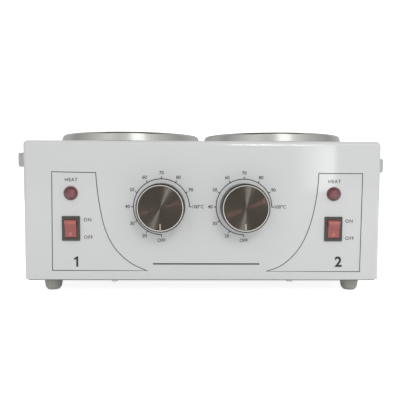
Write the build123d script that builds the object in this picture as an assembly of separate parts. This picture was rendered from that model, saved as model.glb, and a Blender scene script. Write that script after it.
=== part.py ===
from build123d import *
import math
import os

# Twin wax warmer: a painted steel casing on four rubber feet, with two heated wells that each
# hold a lift-out pot, and for each well a rocker switch, a pilot lamp and a thermostat knob.
# X runs to the right, Y to the back and Z up. The origin is under the middle of the whole
# object's box, on the surface that it stands on. Millimetres.

# Casing, with its end walls placed from the wells' middles
END_ROOM = 81.6
CASE_DEPTH = 158.0
CASE_HEIGHT = 117.8
SHEET = 1.2
BEND = 3.6
RETURN_FLANGE = 10.0
FLANGE_NOTCH = 13.0

# Roundings shared by small edges
FINE_ROUND = 0.3
EDGE_ROUND = 0.5
SOFT_ROUND = 1.0

# Base plate, feet and their screws
BASE_SHEET = 1.0
BASE_INSET = 1.5
BASE_CORNER = 4.0
FOOT_HEIGHT = 11.5
FOOT_TOP_R = 8.4
FOOT_LOW_R = 7.0
FOOT_TIP_R = 5.2
FOOT_ROUND = 2.6
FOOT_INSET_X = 19.2
FOOT_INSET_Y = 19.4
FOOT_BORE_R = 3.4
FOOT_BORE_DEPTH = 5.0
VENT_LENGTH = 34.0
VENT_WIDTH = 3.0
VENT_PITCH = 8.0
VENT_COUNT = 7
VENT_FIELD_X = 66.0
VENT_FIELD_Y = -34.0

# Screws and nuts
M3_R = 1.5
M3_HEAD_R = 2.75
M3_HEAD = 1.9
M3_NUT_R = 3.0
M3_NUT = 2.4
M4_R = 2.0
M4_HEAD_R = 3.5
M4_HEAD = 2.4
M4_NUT_R = 3.8
M4_NUT = 3.2
SCREW_FIT = 0.1
BASE_SCREW_LENGTH = 7.0
HANDLE_SCREW_GRIP = 9.0
DRIVE_SLOT = 0.8

# Wax pots
POT_HEIGHT = 64.0
POT_TOP_R = 56.6
POT_BOTTOM_R = 48.8
POT_WALL = 1.5
POT_BOTTOM_ROUND = 5.0
POT_LIP_ROUND = 2.5
RIM_OVERHANG = 12.0
RIM_DRAFT = 2.8
RIM_HEIGHT = 8.6
RIM_ROUND = 2.6
RIM_LIFT = 0.5
RIM_GAP = 2.0

# Wells, heaters and insulation
WELL_WALL = 1.2
WELL_GAP = 1.0
WELL_FLANGE_MARGIN = 3.0
WELL_HOLE_FIT = 0.4
WELL_SCREW_MARGIN = 6.0
WELL_SCREWS = 4
BAND_HEIGHT = 26.0
BAND_DROP = 9.0
BAND_THICK = 2.5
BAND_FIT = 0.15
BAND_SPLIT = 8.0
EAR_REACH = 10.0
EAR_THICK = 1.5
BLANKET_THICK = 4.0
BLANKET_OPENING = 60.0
BULB_R = 3.0
BULB_LENGTH = 50.0
BULB_FIT = 0.15
CAPILLARY_R = 0.8
CLIP_WIDTH = 12.0
CLIP_SHEET = 0.8
CLIP_FOOT = 8.0
FUSE_R = 2.2
FUSE_LENGTH = 16.0
FUSE_SETBACK = 20.0
FUSE_TAB = 1.0
HEATER_LEAD_ANGLE = 35.0

# Controls on the front, with their drop below the casing's top
KNOB_X = 34.9
KNOB_DROP = 55.7
KNOB_REACH = 17.0
KNOB_GAP = 1.0
KNOB_BACK_R = 20.2
KNOB_FRONT_R = 20.0
KNOB_BEVEL = 1.1
KNOB_WALL = 1.8
KNOB_FACE = 2.6
KNOB_RIBS = 60
KNOB_RIB_DEPTH = 0.25
KNOB_PLAIN_BACK = 2.0
KNOB_PLAIN_FRONT = 1.2
HUB_R = 5.8
HUB_GAP = 0.7
CAP_R = 18.1
CAP_THICK = 0.9
CAP_FIT = 0.05
CAP_RECESS = 0.2
POINTER_WIDTH = 1.0
POINTER_START = 12.7
POINTER_DEPTH = 0.3
SHAFT_R = 3.0
SHAFT_FLAT = 0.8
SHAFT_FIT = 0.05
SHAFT_INSIDE = 9.0
SHAFT_REACH = 12.5

LAMP_INSET = 40.2
LAMP_DROP = 44.4
LAMP_R = 5.9
LAMP_LIP = 1.2
LAMP_DOME = 3.4
LAMP_EDGE = 0.35
LAMP_STEM_R = 4.7
LAMP_STEM = 3.0
LAMP_BODY = 13.0
LAMP_NECK = 4.0
LAMP_NECK_STEP = 0.8
LAMP_NUT_R = 7.0
LAMP_NUT = 1.5

SWITCH_INSET = 40.1
SWITCH_DROP = 74.2
BEZEL_WIDTH = 15.0
BEZEL_HEIGHT = 20.8
BEZEL_THICK = 1.6
SWITCH_WIDTH = 12.8
SWITCH_HEIGHT = 18.8
SWITCH_DEPTH = 14.0
PANEL_FIT = 0.1
ROCKER_WIDTH = 9.6
ROCKER_HALF = 6.8
ROCKER_VALLEY = 2.3
ROCKER_TILT = 10.0
ROCKER_BACK = 2.0
ROCKER_FIT = 0.2
PIVOT_DEPTH = 0.3
PIVOT_R = 1.2
PIVOT_LENGTH = 0.7
PIVOT_FIT = 0.05
TAB_WIDTH = 4.8
TAB_THICK = 0.8
TAB_LENGTH = 8.0
SWITCH_TAB_PITCH = 6.0
LATCH_REACH = 0.7
LATCH_GAP = 0.2
LATCH_END = 5.0
LATCH_HALF = 3.0

# Thermostats behind the front
BRACKET_WIDTH = 40.0
BRACKET_HEIGHT = 20.0
BRACKET_THICK = 1.5
BRACKET_CORNER = 3.0
BUSH_R = 4.6
BUSH_REACH = 2.5
BUSH_FIT = 0.2
STAT_SCREW_X = 14.0
STAT_WIDTH = 23.0
STAT_HEIGHT = 32.0
STAT_DEPTH = 20.0
STAT_CORNER = 2.0
STAT_TAB_PITCH = 7.0
STAT_TAB_SETBACK = 11.0

# Side handles: their middles lie at two different drops below the casing's top
HANDLE_DROP_LEFT = 15.3
HANDLE_DROP_RIGHT = 19.6
HANDLE_REACH = 25.3
HANDLE_SPAN = 64.0
HANDLE_HEIGHT = 13.4
HANDLE_BAR = 7.0
HANDLE_LEG = 11.0
HANDLE_BEND = 22.8
HANDLE_EDGE = 1.5
HANDLE_PAD = 3.0
HANDLE_PAD_MARGIN = 3.0

# Mains inlet at the back
INLET_RISE = 28.0
INLET_FLANGE = 3.0
INLET_FLANGE_WIDTH = 50.0
INLET_FLANGE_HEIGHT = 24.0
INLET_FLANGE_CORNER = 5.0
INLET_BODY_WIDTH = 28.0
INLET_BODY_HEIGHT = 20.0
INLET_BODY_DEPTH = 20.0
SOCKET_WIDTH = 24.2
SOCKET_HEIGHT = 16.2
SOCKET_BEVEL = 4.0
SOCKET_DEPTH = 16.0
INLET_SCREW_X = 20.0
PIN_THICK = 2.0
PIN_HEIGHT = 4.0
PIN_X = 7.0
PIN_Z = -2.0
EARTH_PIN_Z = 2.0
PIN_REACH = 13.0

# Terminal block and leads
BLOCK_WAYS = 6
BLOCK_PITCH = 10.0
BLOCK_DEPTH = 20.0
BLOCK_HEIGHT = 15.0
BLOCK_STEP = 3.0
BLOCK_LUG = 4.0
BLOCK_SLIT = 1.0
BLOCK_SCREW_DROP = 1.5
BLOCK_SETBACK = 85.0
LEAD_R = 1.1
LEAD_ENTRY = 7.5
LEAD_OFFSET = 1.8
LANE_INSET = 26.4
ARC_SHARE = 0.45
EARTH_X = 44.0
EARTH_FROM_BACK = 18.0
EARTH_TAG_HALF = 2.0

# Places worked out from the sizes above
FRONT = KNOB_REACH - (CASE_DEPTH + KNOB_REACH + INLET_FLANGE) / 2
BACK = FRONT + CASE_DEPTH
INNER_FRONT = FRONT + SHEET
CASE_LOW = FOOT_HEIGHT + BASE_SHEET
CASE_TOP = CASE_LOW + CASE_HEIGHT
RIM_R = POT_TOP_R + RIM_OVERHANG
RIM_TOP_R = RIM_R - RIM_DRAFT
WELL_FLANGE_R = RIM_R - WELL_FLANGE_MARGIN
WELL_SCREW_R = RIM_R - WELL_SCREW_MARGIN
WELL_X = RIM_R + RIM_GAP / 2
SIDE = WELL_X + END_ROOM
WELL_Y = (FRONT + BACK) / 2
RIM_TOP = CASE_TOP + RIM_HEIGHT
POT_LOW = RIM_TOP - POT_HEIGHT
WELL_LOW = POT_LOW - WELL_WALL
BAND_TOP = CASE_TOP - SHEET - BAND_DROP
BAND_LOW = BAND_TOP - BAND_HEIGHT
WELL_HOLE_R = POT_TOP_R + WELL_GAP + WELL_WALL + WELL_HOLE_FIT
KNOB_Z = CASE_TOP - KNOB_DROP
LAMP_X = SIDE - LAMP_INSET
LAMP_Z = CASE_TOP - LAMP_DROP
SWITCH_X = SIDE - SWITCH_INSET
SWITCH_Z = CASE_TOP - SWITCH_DROP
INLET_Z = CASE_LOW + INLET_RISE
FOOT_X = SIDE - FOOT_INSET_X
FOOT_Y = CASE_DEPTH / 2 - FOOT_INSET_Y
BLOCK_Y = FRONT + BLOCK_SETBACK
EARTH_Y = BACK - EARTH_FROM_BACK


def block(x0, x1, y0, y1, z0, z1):
    """Box between two opposite corners."""
    middle = Pos((x0 + x1) / 2, (y0 + y1) / 2, (z0 + z1) / 2)
    return middle * Box(abs(x1 - x0), abs(y1 - y0), abs(z1 - z0))


def rod(start, direction, radius, length):
    """Cylinder from a point along a direction."""
    place = Plane(origin=start, z_dir=direction)
    return place * Cylinder(radius, length, align=(Align.CENTER, Align.CENTER, Align.MIN))


def turned(points, arc=360.0):
    """Solid turned about Z from (radius, height, rounding) corners."""
    corners = [(r, 0, z) for r, z, rounding in points]
    outline = FilletPolyline(*corners, radius=[p[2] for p in points], close=True)
    return revolve(make_face(outline), Axis.Z, arc)


def hexagon_nut(start, direction, radius, hole_r, thick):
    """Hexagonal nut with its bore, from a point along a direction."""
    place = Plane(origin=start, z_dir=direction)
    nut = extrude(RegularPolygon(radius, 6), thick) - Cylinder(hole_r, 4 * thick)
    return place * nut


def pan_screw(seat, direction, radius, head_r, head, length):
    """Screw whose head's underside lies on seat, with its shank along direction."""
    out = Plane(origin=seat, z_dir=tuple(-d for d in direction))
    dome = Cylinder(head_r, head, align=(Align.CENTER, Align.CENTER, Align.MIN))
    dome = fillet(dome.edges().group_by(Axis.Z)[-1], 0.4 * head)
    long, narrow = 1.1 * head_r, 0.25 * head_r
    recess = Box(long, narrow, head) + Box(narrow, long, head)
    return out * (dome - Pos(0, 0, head) * recess) + rod(seat, direction, radius, length)


def front_at(x, z):
    """Working plane on the casing's front: x right, y up, z out towards the user."""
    return Plane(origin=(x, FRONT, z), x_dir=(1, 0, 0), z_dir=(0, -1, 0))


def back_at(x, z):
    """Working plane on the casing's back: x left, y up, z outwards."""
    return Plane(origin=(x, BACK, z), x_dir=(-1, 0, 0), z_dir=(0, 1, 0))


def other_side(solid):
    """The same piece on the left-hand side."""
    return mirror(solid, about=Plane.YZ)


def pot_radius(z):
    """Outside radius of the pot's tapered wall at a height."""
    share = (z - POT_LOW) / (RIM_TOP - POT_WALL - POT_LOW)
    return POT_BOTTOM_R + (POT_TOP_R - POT_BOTTOM_R) * share


def well_radius(z):
    """Outside radius of the well's wall at a height."""
    return pot_radius(z) + WELL_GAP + WELL_WALL


def around_well(solid):
    """Moves what was turned about Z to the right-hand well."""
    return Pos(WELL_X, WELL_Y, 0) * solid


def well_screw_places():
    """Where the well's flange is screwed to the casing's top, for the right-hand well."""
    angles = [math.radians(45 + 360 / WELL_SCREWS * i) for i in range(WELL_SCREWS)]
    return [
        (WELL_X + WELL_SCREW_R * math.cos(a), WELL_Y + WELL_SCREW_R * math.sin(a)) for a in angles
    ]


def base_screw_places():
    """Where the base plate is screwed to the casing's return flange."""
    edge_x = SIDE - SHEET - RETURN_FLANGE / 2
    edge_y = CASE_DEPTH / 2 - SHEET - RETURN_FLANGE / 2
    middle_y = (FRONT + BACK) / 2
    sides = [(s * edge_x, middle_y) for s in (-1, 1)]
    long_edges = [(s * SIDE / 2, middle_y + t * edge_y) for s in (-1, 1) for t in (-1, 1)]
    return sides + long_edges


def foot_places():
    """Name and centre of each foot."""
    middle_y = (FRONT + BACK) / 2
    return {
        "front_left": (-FOOT_X, middle_y - FOOT_Y),
        "front_right": (FOOT_X, middle_y - FOOT_Y),
        "back_left": (-FOOT_X, middle_y + FOOT_Y),
        "back_right": (FOOT_X, middle_y + FOOT_Y),
    }


def handle_screw_places(drop):
    """Where a right-hand handle is screwed through the casing's side."""
    return [(SIDE, WELL_Y + t * HANDLE_SPAN / 2, CASE_TOP - drop) for t in (-1, 1)]


def casing_form(margin, low):
    """The casing's rounded outside, drawn in by a margin and open below."""
    top = CASE_TOP - margin
    form = block(margin - SIDE, SIDE - margin, FRONT + margin, BACK - margin, low, top)
    upright = form.edges().filter_by(Axis.Z)
    upper = form.edges().group_by(Axis.Z)[-1]
    return fillet(upright + upper, BEND - margin)


def make_housing():
    """Folded casing: front, top, back and sides in one shell, with a return flange below."""
    shell = casing_form(0, CASE_LOW) - casing_form(SHEET, CASE_LOW - SHEET)
    x_in = SIDE - SHEET
    y0, y1 = FRONT + SHEET, BACK - SHEET
    top = CASE_LOW + SHEET
    flange = block(-x_in, x_in, y0, y1, CASE_LOW, top)
    flange -= block(
        RETURN_FLANGE - x_in, x_in - RETURN_FLANGE, y0 + RETURN_FLANGE, y1 - RETURN_FLANGE, 0, 2 * top
    )
    for sx in (-1, 1):
        for y_corner, sy in ((y0, 1), (y1, -1)):
            flange -= block(
                sx * x_in, sx * (x_in - FLANGE_NOTCH), y_corner, y_corner + sy * FLANGE_NOTCH, 0, 2 * top
            )
    shell += flange
    for x, y in base_screw_places():
        shell -= rod((x, y, 0), (0, 0, 1), M3_R + SCREW_FIT, 2 * CASE_LOW)
    for sx in (-1, 1):
        shell -= rod((sx * WELL_X, WELL_Y, CASE_TOP - 2 * SHEET), (0, 0, 1), WELL_HOLE_R, 4 * SHEET)
        for x, y in well_screw_places():
            shell -= rod((sx * x, y, CASE_TOP - 2 * SHEET), (0, 0, 1), M3_R + SCREW_FIT, 4 * SHEET)
        drop = HANDLE_DROP_RIGHT if sx > 0 else HANDLE_DROP_LEFT
        for x, y, z in handle_screw_places(drop):
            shell -= rod((sx * (x - 2 * SHEET), y, z), (sx, 0, 0), M4_R + SCREW_FIT, 4 * SHEET)
        through = -2 * SHEET
        bush_hole = rod((0, 0, through), (0, 0, 1), BUSH_R + BUSH_FIT, 4 * SHEET)
        shell -= front_at(sx * KNOB_X, KNOB_Z) * bush_hole
        for t in (-1, 1):
            hole = rod((t * STAT_SCREW_X, 0, through), (0, 0, 1), M4_R + SCREW_FIT, 4 * SHEET)
            shell -= front_at(sx * KNOB_X, KNOB_Z) * hole
        lamp_hole = rod((0, 0, through), (0, 0, 1), LAMP_STEM_R + PANEL_FIT, 4 * SHEET)
        shell -= front_at(sx * LAMP_X, LAMP_Z) * lamp_hole
        switch_hole = Box(SWITCH_WIDTH + 2 * PANEL_FIT, SWITCH_HEIGHT + 2 * PANEL_FIT, 4 * SHEET)
        shell -= front_at(sx * SWITCH_X, SWITCH_Z) * switch_hole
    inlet_hole = Box(INLET_BODY_WIDTH + 2 * PANEL_FIT, INLET_BODY_HEIGHT + 2 * PANEL_FIT, 4 * SHEET)
    shell -= back_at(0, INLET_Z) * inlet_hole
    for t in (-1, 1):
        hole = rod((t * INLET_SCREW_X, 0, -2 * SHEET), (0, 0, 1), M3_R + SCREW_FIT, 4 * SHEET)
        shell -= back_at(0, INLET_Z) * hole
    return shell


def make_base_plate():
    """Flat plate under the casing, with vent slots."""
    x_out = SIDE - BASE_INSET
    plate = block(-x_out, x_out, FRONT + BASE_INSET, BACK - BASE_INSET, FOOT_HEIGHT, CASE_LOW)
    plate = fillet(plate.edges().filter_by(Axis.Z), BASE_CORNER)
    low, tall = FOOT_HEIGHT - BASE_SHEET, 3 * BASE_SHEET
    for x, y in base_screw_places():
        plate -= rod((x, y, low), (0, 0, 1), M3_R + SCREW_FIT, tall)
    for x, y in foot_places().values():
        plate -= rod((x, y, low), (0, 0, 1), M3_R + SCREW_FIT, tall)
    for s in (-1, 1):
        x = s * (BLOCK_WAYS * BLOCK_PITCH / 2 + BLOCK_STEP)
        plate -= rod((x, BLOCK_Y, low), (0, 0, 1), M3_R + SCREW_FIT, tall)
    plate -= rod((EARTH_X, EARTH_Y, low), (0, 0, 1), M4_R + SCREW_FIT, tall)
    for s in (-1, 1):
        for i in range(VENT_COUNT):
            x = s * VENT_FIELD_X + (i - (VENT_COUNT - 1) / 2) * VENT_PITCH
            slot = extrude(Rot(0, 0, 90) * SlotOverall(VENT_LENGTH, VENT_WIDTH), tall)
            plate -= Pos(x, WELL_Y + VENT_FIELD_Y, low) * slot
    return plate


def make_base_screws():
    """Screws up through the base plate into the return flange."""
    return [
        pan_screw((x, y, FOOT_HEIGHT), (0, 0, 1), M3_R, M3_HEAD_R, M3_HEAD, BASE_SCREW_LENGTH)
        for x, y in base_screw_places()
    ]


def make_foot():
    """Tapered rubber foot with a counterbore for its screw, centred on Z."""
    outline = [
        (M3_R + SCREW_FIT, FOOT_HEIGHT, 0),
        (FOOT_TOP_R, FOOT_HEIGHT, EDGE_ROUND),
        (FOOT_LOW_R, FOOT_ROUND, FOOT_ROUND / 2),
        (FOOT_TIP_R, 0, EDGE_ROUND),
        (FOOT_BORE_R, 0, 0),
        (FOOT_BORE_R, FOOT_BORE_DEPTH, 0),
        (M3_R + SCREW_FIT, FOOT_BORE_DEPTH, 0),
    ]
    return turned(outline)


def make_foot_fasteners():
    """A screw from below and a nut inside, for each foot."""
    pieces = []
    shank = CASE_LOW - FOOT_BORE_DEPTH + M3_NUT + M3_R / 2
    for x, y in foot_places().values():
        seat = (x, y, FOOT_BORE_DEPTH)
        pieces.append(pan_screw(seat, (0, 0, 1), M3_R, M3_HEAD_R, M3_HEAD, shank))
        pieces.append(hexagon_nut((x, y, CASE_LOW), (0, 0, 1), M3_NUT_R, M3_R, M3_NUT))
    return pieces


def make_handle(drop):
    """U-shaped carrying handle on the right-hand side, with a pad at each leg."""
    half = HANDLE_SPAN / 2 + HANDLE_LEG / 2
    reach = HANDLE_REACH
    outer = RectangleRounded(2 * reach, 2 * half, HANDLE_BEND)
    gap_half = half - HANDLE_LEG
    inner = RectangleRounded(2 * (reach - HANDLE_BAR), 2 * gap_half, HANDLE_BEND - HANDLE_BAR)
    bow = extrude(outer - inner, HANDLE_HEIGHT)
    bow &= block(0, 2 * reach, -2 * half, 2 * half, -HANDLE_HEIGHT, 2 * HANDLE_HEIGHT)
    bow = fillet(bow.edges().group_by(Axis.Z)[0] + bow.edges().group_by(Axis.Z)[-1], HANDLE_EDGE)
    for t in (-1, 1):
        middle = t * HANDLE_SPAN / 2
        wide = HANDLE_LEG / 2 + HANDLE_PAD_MARGIN
        pad = block(0, HANDLE_PAD, middle - wide, middle + wide, 0, HANDLE_HEIGHT)
        bow += fillet(pad.edges().filter_by(Axis.X), HANDLE_EDGE)
    handle = Pos(SIDE, WELL_Y, CASE_TOP - drop - HANDLE_HEIGHT / 2) * bow
    for x, y, z in handle_screw_places(drop):
        handle -= rod((x - SHEET, y, z), (1, 0, 0), M4_R, SHEET + HANDLE_SCREW_GRIP + SCREW_FIT)
    return handle


def make_handle_screws():
    """Screws from inside the casing into the handles' legs."""
    screws = []
    for drop, other in ((HANDLE_DROP_RIGHT, False), (HANDLE_DROP_LEFT, True)):
        for x, y, z in handle_screw_places(drop):
            seat = (x - SHEET, y, z)
            screw = pan_screw(seat, (1, 0, 0), M4_R, M4_HEAD_R, M4_HEAD, SHEET + HANDLE_SCREW_GRIP)
            screws.append(other_side(screw) if other else screw)
    return screws


def make_pot():
    """Lift-out pot: tapered cup whose rim turns out and down over the well."""
    rim_low = CASE_TOP + RIM_LIFT
    under = RIM_TOP - POT_WALL
    slope = RIM_DRAFT / (RIM_TOP - rim_low)
    outline = [
        (0, POT_LOW, 0),
        (POT_BOTTOM_R, POT_LOW, POT_BOTTOM_ROUND),
        (POT_TOP_R, under, POT_LIP_ROUND - POT_WALL),
        (RIM_TOP_R - POT_WALL + slope * POT_WALL, under, RIM_ROUND - POT_WALL),
        (RIM_R - POT_WALL, rim_low, 0),
        (RIM_R, rim_low, FINE_ROUND),
        (RIM_TOP_R, RIM_TOP, RIM_ROUND),
        (POT_TOP_R - POT_WALL, RIM_TOP, POT_LIP_ROUND),
        (POT_BOTTOM_R - POT_WALL, POT_LOW + POT_WALL, POT_BOTTOM_ROUND - POT_WALL),
        (0, POT_LOW + POT_WALL, 0),
    ]
    return around_well(turned(outline))


def make_well():
    """Fixed heating well, hung in the casing's top by its flange."""
    bottom_out = pot_radius(POT_LOW) + WELL_GAP + WELL_WALL
    top = CASE_TOP + WELL_WALL
    top_out = well_radius(CASE_TOP)
    outline = [
        (0, WELL_LOW, 0),
        (bottom_out, WELL_LOW, POT_BOTTOM_ROUND),
        (top_out, CASE_TOP, 0),
        (WELL_FLANGE_R, CASE_TOP, 0),
        (WELL_FLANGE_R, top, FINE_ROUND),
        (top_out - WELL_WALL, top, SOFT_ROUND),
        (bottom_out - WELL_WALL, POT_LOW, POT_BOTTOM_ROUND - WELL_WALL),
        (0, POT_LOW, 0),
    ]
    well = around_well(turned(outline))
    for x, y in well_screw_places():
        well -= rod((x, y, CASE_TOP - SHEET), (0, 0, 1), M3_R + SCREW_FIT, 4 * SHEET)
    return well


def make_well_fasteners():
    """Screws through the well's flange, with nuts under the casing's top."""
    pieces = []
    seat_z = CASE_TOP + WELL_WALL
    nut_z = CASE_TOP - SHEET
    for x, y in well_screw_places():
        length = WELL_WALL + SHEET + M3_NUT + M3_R / 2
        screw = pan_screw((x, y, seat_z), (0, 0, -1), M3_R, M3_HEAD_R, M3_HEAD, length)
        nut = hexagon_nut((x, y, nut_z), (0, 0, -1), M3_NUT_R, M3_R, M3_NUT)
        pieces += [screw, nut, other_side(screw), other_side(nut)]
    return pieces


def band_inside(z):
    """Inside radius of the heater band at a height."""
    return well_radius(z) + BAND_FIT


def make_heater_band():
    """Split mica band heater clamped round the well, with an ear on each side of the split."""
    low_in, top_in = band_inside(BAND_LOW), band_inside(BAND_TOP)
    ring = turned(
        [
            (low_in, BAND_LOW, 0),
            (low_in + BAND_THICK, BAND_LOW, 0),
            (top_in + BAND_THICK, BAND_TOP, 0),
            (top_in, BAND_TOP, 0),
        ]
    )
    reach = top_in + BAND_THICK + EAR_REACH
    ring -= block(0, reach, -BAND_SPLIT / 2, BAND_SPLIT / 2, 0, 2 * BAND_TOP)
    middle = (BAND_LOW + BAND_TOP) / 2
    for s in (-1, 1):
        near, far = s * BAND_SPLIT / 2, s * (BAND_SPLIT / 2 + EAR_THICK)
        ring += block(top_in + BAND_FIT, reach, near, far, BAND_LOW, BAND_TOP)
    hole_x = reach - EAR_REACH / 2
    ring -= rod((hole_x, -BAND_SPLIT, middle), (0, 1, 0), M3_R + SCREW_FIT, 2 * BAND_SPLIT)
    return around_well(ring)


def make_band_bolts():
    """Clamping bolt and nut across each band's split."""
    x = WELL_X + band_inside(BAND_TOP) + BAND_THICK + EAR_REACH / 2
    y_out = BAND_SPLIT / 2 + EAR_THICK
    z = (BAND_LOW + BAND_TOP) / 2
    length = 2 * y_out + M3_NUT + M3_R / 2
    bolt = pan_screw((x, WELL_Y - y_out, z), (0, 1, 0), M3_R, M3_HEAD_R, M3_HEAD, length)
    nut = hexagon_nut((x, WELL_Y + y_out, z), (0, 1, 0), M3_NUT_R, M3_R, M3_NUT)
    return [bolt, nut, other_side(bolt), other_side(nut)]


def make_insulation():
    """Glass-fibre blanket round the heater band, open where the band's ears stand out."""
    low = band_inside(BAND_LOW) + BAND_THICK + BAND_FIT
    top = band_inside(BAND_TOP) + BAND_THICK + BAND_FIT
    blanket = turned(
        [
            (low, BAND_LOW, 0),
            (low + BLANKET_THICK, BAND_LOW, SOFT_ROUND),
            (top + BLANKET_THICK, BAND_TOP, SOFT_ROUND),
            (top, BAND_TOP, 0),
        ],
        360 - BLANKET_OPENING,
    )
    return around_well(Rot(0, 0, BLANKET_OPENING / 2) * blanket)


def bulb_centre_z():
    """Height of the sensing bulb's axis under the well's floor."""
    return WELL_LOW - BULB_R - BULB_FIT


def make_bulb_clip():
    """Saddle strap that holds the sensing bulb against the well's floor."""
    z = bulb_centre_z()
    inside = BULB_R + BULB_FIT
    outside = inside + CLIP_SHEET
    half = CLIP_WIDTH / 2
    saddle = rod((WELL_X - half, WELL_Y, z), (1, 0, 0), outside, CLIP_WIDTH)
    saddle += block(WELL_X - half, WELL_X + half, WELL_Y - outside, WELL_Y + outside, z, WELL_LOW)
    saddle += block(
        WELL_X - half,
        WELL_X + half,
        WELL_Y - outside - CLIP_FOOT,
        WELL_Y + outside + CLIP_FOOT,
        WELL_LOW - CLIP_SHEET,
        WELL_LOW,
    )
    saddle -= rod((WELL_X - CLIP_WIDTH, WELL_Y, z), (1, 0, 0), inside, 2 * CLIP_WIDTH)
    saddle -= block(WELL_X - CLIP_WIDTH, WELL_X + CLIP_WIDTH, WELL_Y - inside, WELL_Y + inside, z, WELL_LOW)
    return saddle & block(0, SIDE, FRONT, BACK, CASE_LOW, WELL_LOW)


def fuse_centre():
    """Middle of the thermal fuse, in front of the bulb."""
    return (WELL_X, WELL_Y - FUSE_SETBACK, WELL_LOW - FUSE_TAB - FUSE_R)


def make_thermal_fuse():
    """Thermal fuse on a tab spot-welded to the well's floor."""
    x, y, z = fuse_centre()
    half = FUSE_LENGTH / 2
    fuse = rod((x - half, y, z), (1, 0, 0), FUSE_R, FUSE_LENGTH)
    tab = block(x - half / 2, x + half / 2, y - 2 * FUSE_R, y + 2 * FUSE_R, z + 0.6 * FUSE_R, WELL_LOW)
    return fuse + tab


def make_thermostat_bracket():
    """Steel bracket with the threaded bush that the shaft turns in."""
    place = front_at(KNOB_X, KNOB_Z)
    front = -SHEET
    plate = block(
        -BRACKET_WIDTH / 2,
        BRACKET_WIDTH / 2,
        -BRACKET_HEIGHT / 2,
        BRACKET_HEIGHT / 2,
        front - BRACKET_THICK,
        front,
    )
    plate = fillet(plate.edges().filter_by(Axis.Z), BRACKET_CORNER)
    plate += rod((0, 0, front), (0, 0, 1), BUSH_R, SHEET + BUSH_REACH)
    plate -= rod((0, 0, 2 * front - BRACKET_THICK), (0, 0, 1), SHAFT_R + SHAFT_FIT, KNOB_REACH)
    for t in (-1, 1):
        plate -= rod((t * STAT_SCREW_X, 0, 2 * front - BRACKET_THICK), (0, 0, 1), M4_R, KNOB_REACH)
    return place * plate


def stat_tab_places():
    """Where each thermostat's three tabs end, in the casing's frame."""
    z = KNOB_Z - STAT_HEIGHT / 2 - TAB_LENGTH
    return [(KNOB_X + i * STAT_TAB_PITCH, FRONT + STAT_TAB_SETBACK, z) for i in (-1, 0, 1)]


def make_thermostat_body():
    """Moulded thermostat body with its three spade tabs."""
    back = -SHEET - BRACKET_THICK
    body = Pos(0, 0, back - STAT_DEPTH / 2) * Box(STAT_WIDTH, STAT_HEIGHT, STAT_DEPTH)
    body = fillet(body.edges().filter_by(Axis.Z), STAT_CORNER)
    body -= rod((0, 0, -SHAFT_INSIDE - SHAFT_FIT), (0, 0, 1), SHAFT_R + SHAFT_FIT, KNOB_REACH)
    for i in (-1, 0, 1):
        x = i * STAT_TAB_PITCH
        body += block(
            x - TAB_WIDTH / 2,
            x + TAB_WIDTH / 2,
            -STAT_HEIGHT / 2 - TAB_LENGTH,
            -STAT_HEIGHT / 2,
            -STAT_TAB_SETBACK - TAB_THICK / 2,
            TAB_THICK / 2 - STAT_TAB_SETBACK,
        )
    return front_at(KNOB_X, KNOB_Z) * body


def make_thermostat_screws():
    """Screws through the casing's front into the bracket, hidden behind the knob."""
    screws = []
    for t in (-1, 1):
        screw = pan_screw(
            (t * STAT_SCREW_X, 0, 0), (0, 0, -1), M4_R, M4_HEAD_R, M4_HEAD, SHEET + BRACKET_THICK
        )
        screw = front_at(KNOB_X, KNOB_Z) * screw
        screws += [screw, other_side(screw)]
    return screws


def d_shaft(radius, flat, low, high):
    """Round shaft with a flat, along Z."""
    shaft = rod((0, 0, low), (0, 0, 1), radius, high - low)
    return shaft & block(-2 * radius, 2 * radius, flat - radius, 2 * radius, low, high)


def make_shaft():
    """Thermostat shaft: round in the bush, with a flat where the knob grips it."""
    step = BUSH_REACH + HUB_GAP
    shaft = rod((0, 0, -SHAFT_INSIDE), (0, 0, 1), SHAFT_R, SHAFT_INSIDE + step)
    shaft += d_shaft(SHAFT_R, SHAFT_FLAT, step, SHAFT_REACH)
    return front_at(KNOB_X, KNOB_Z) * shaft


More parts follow.
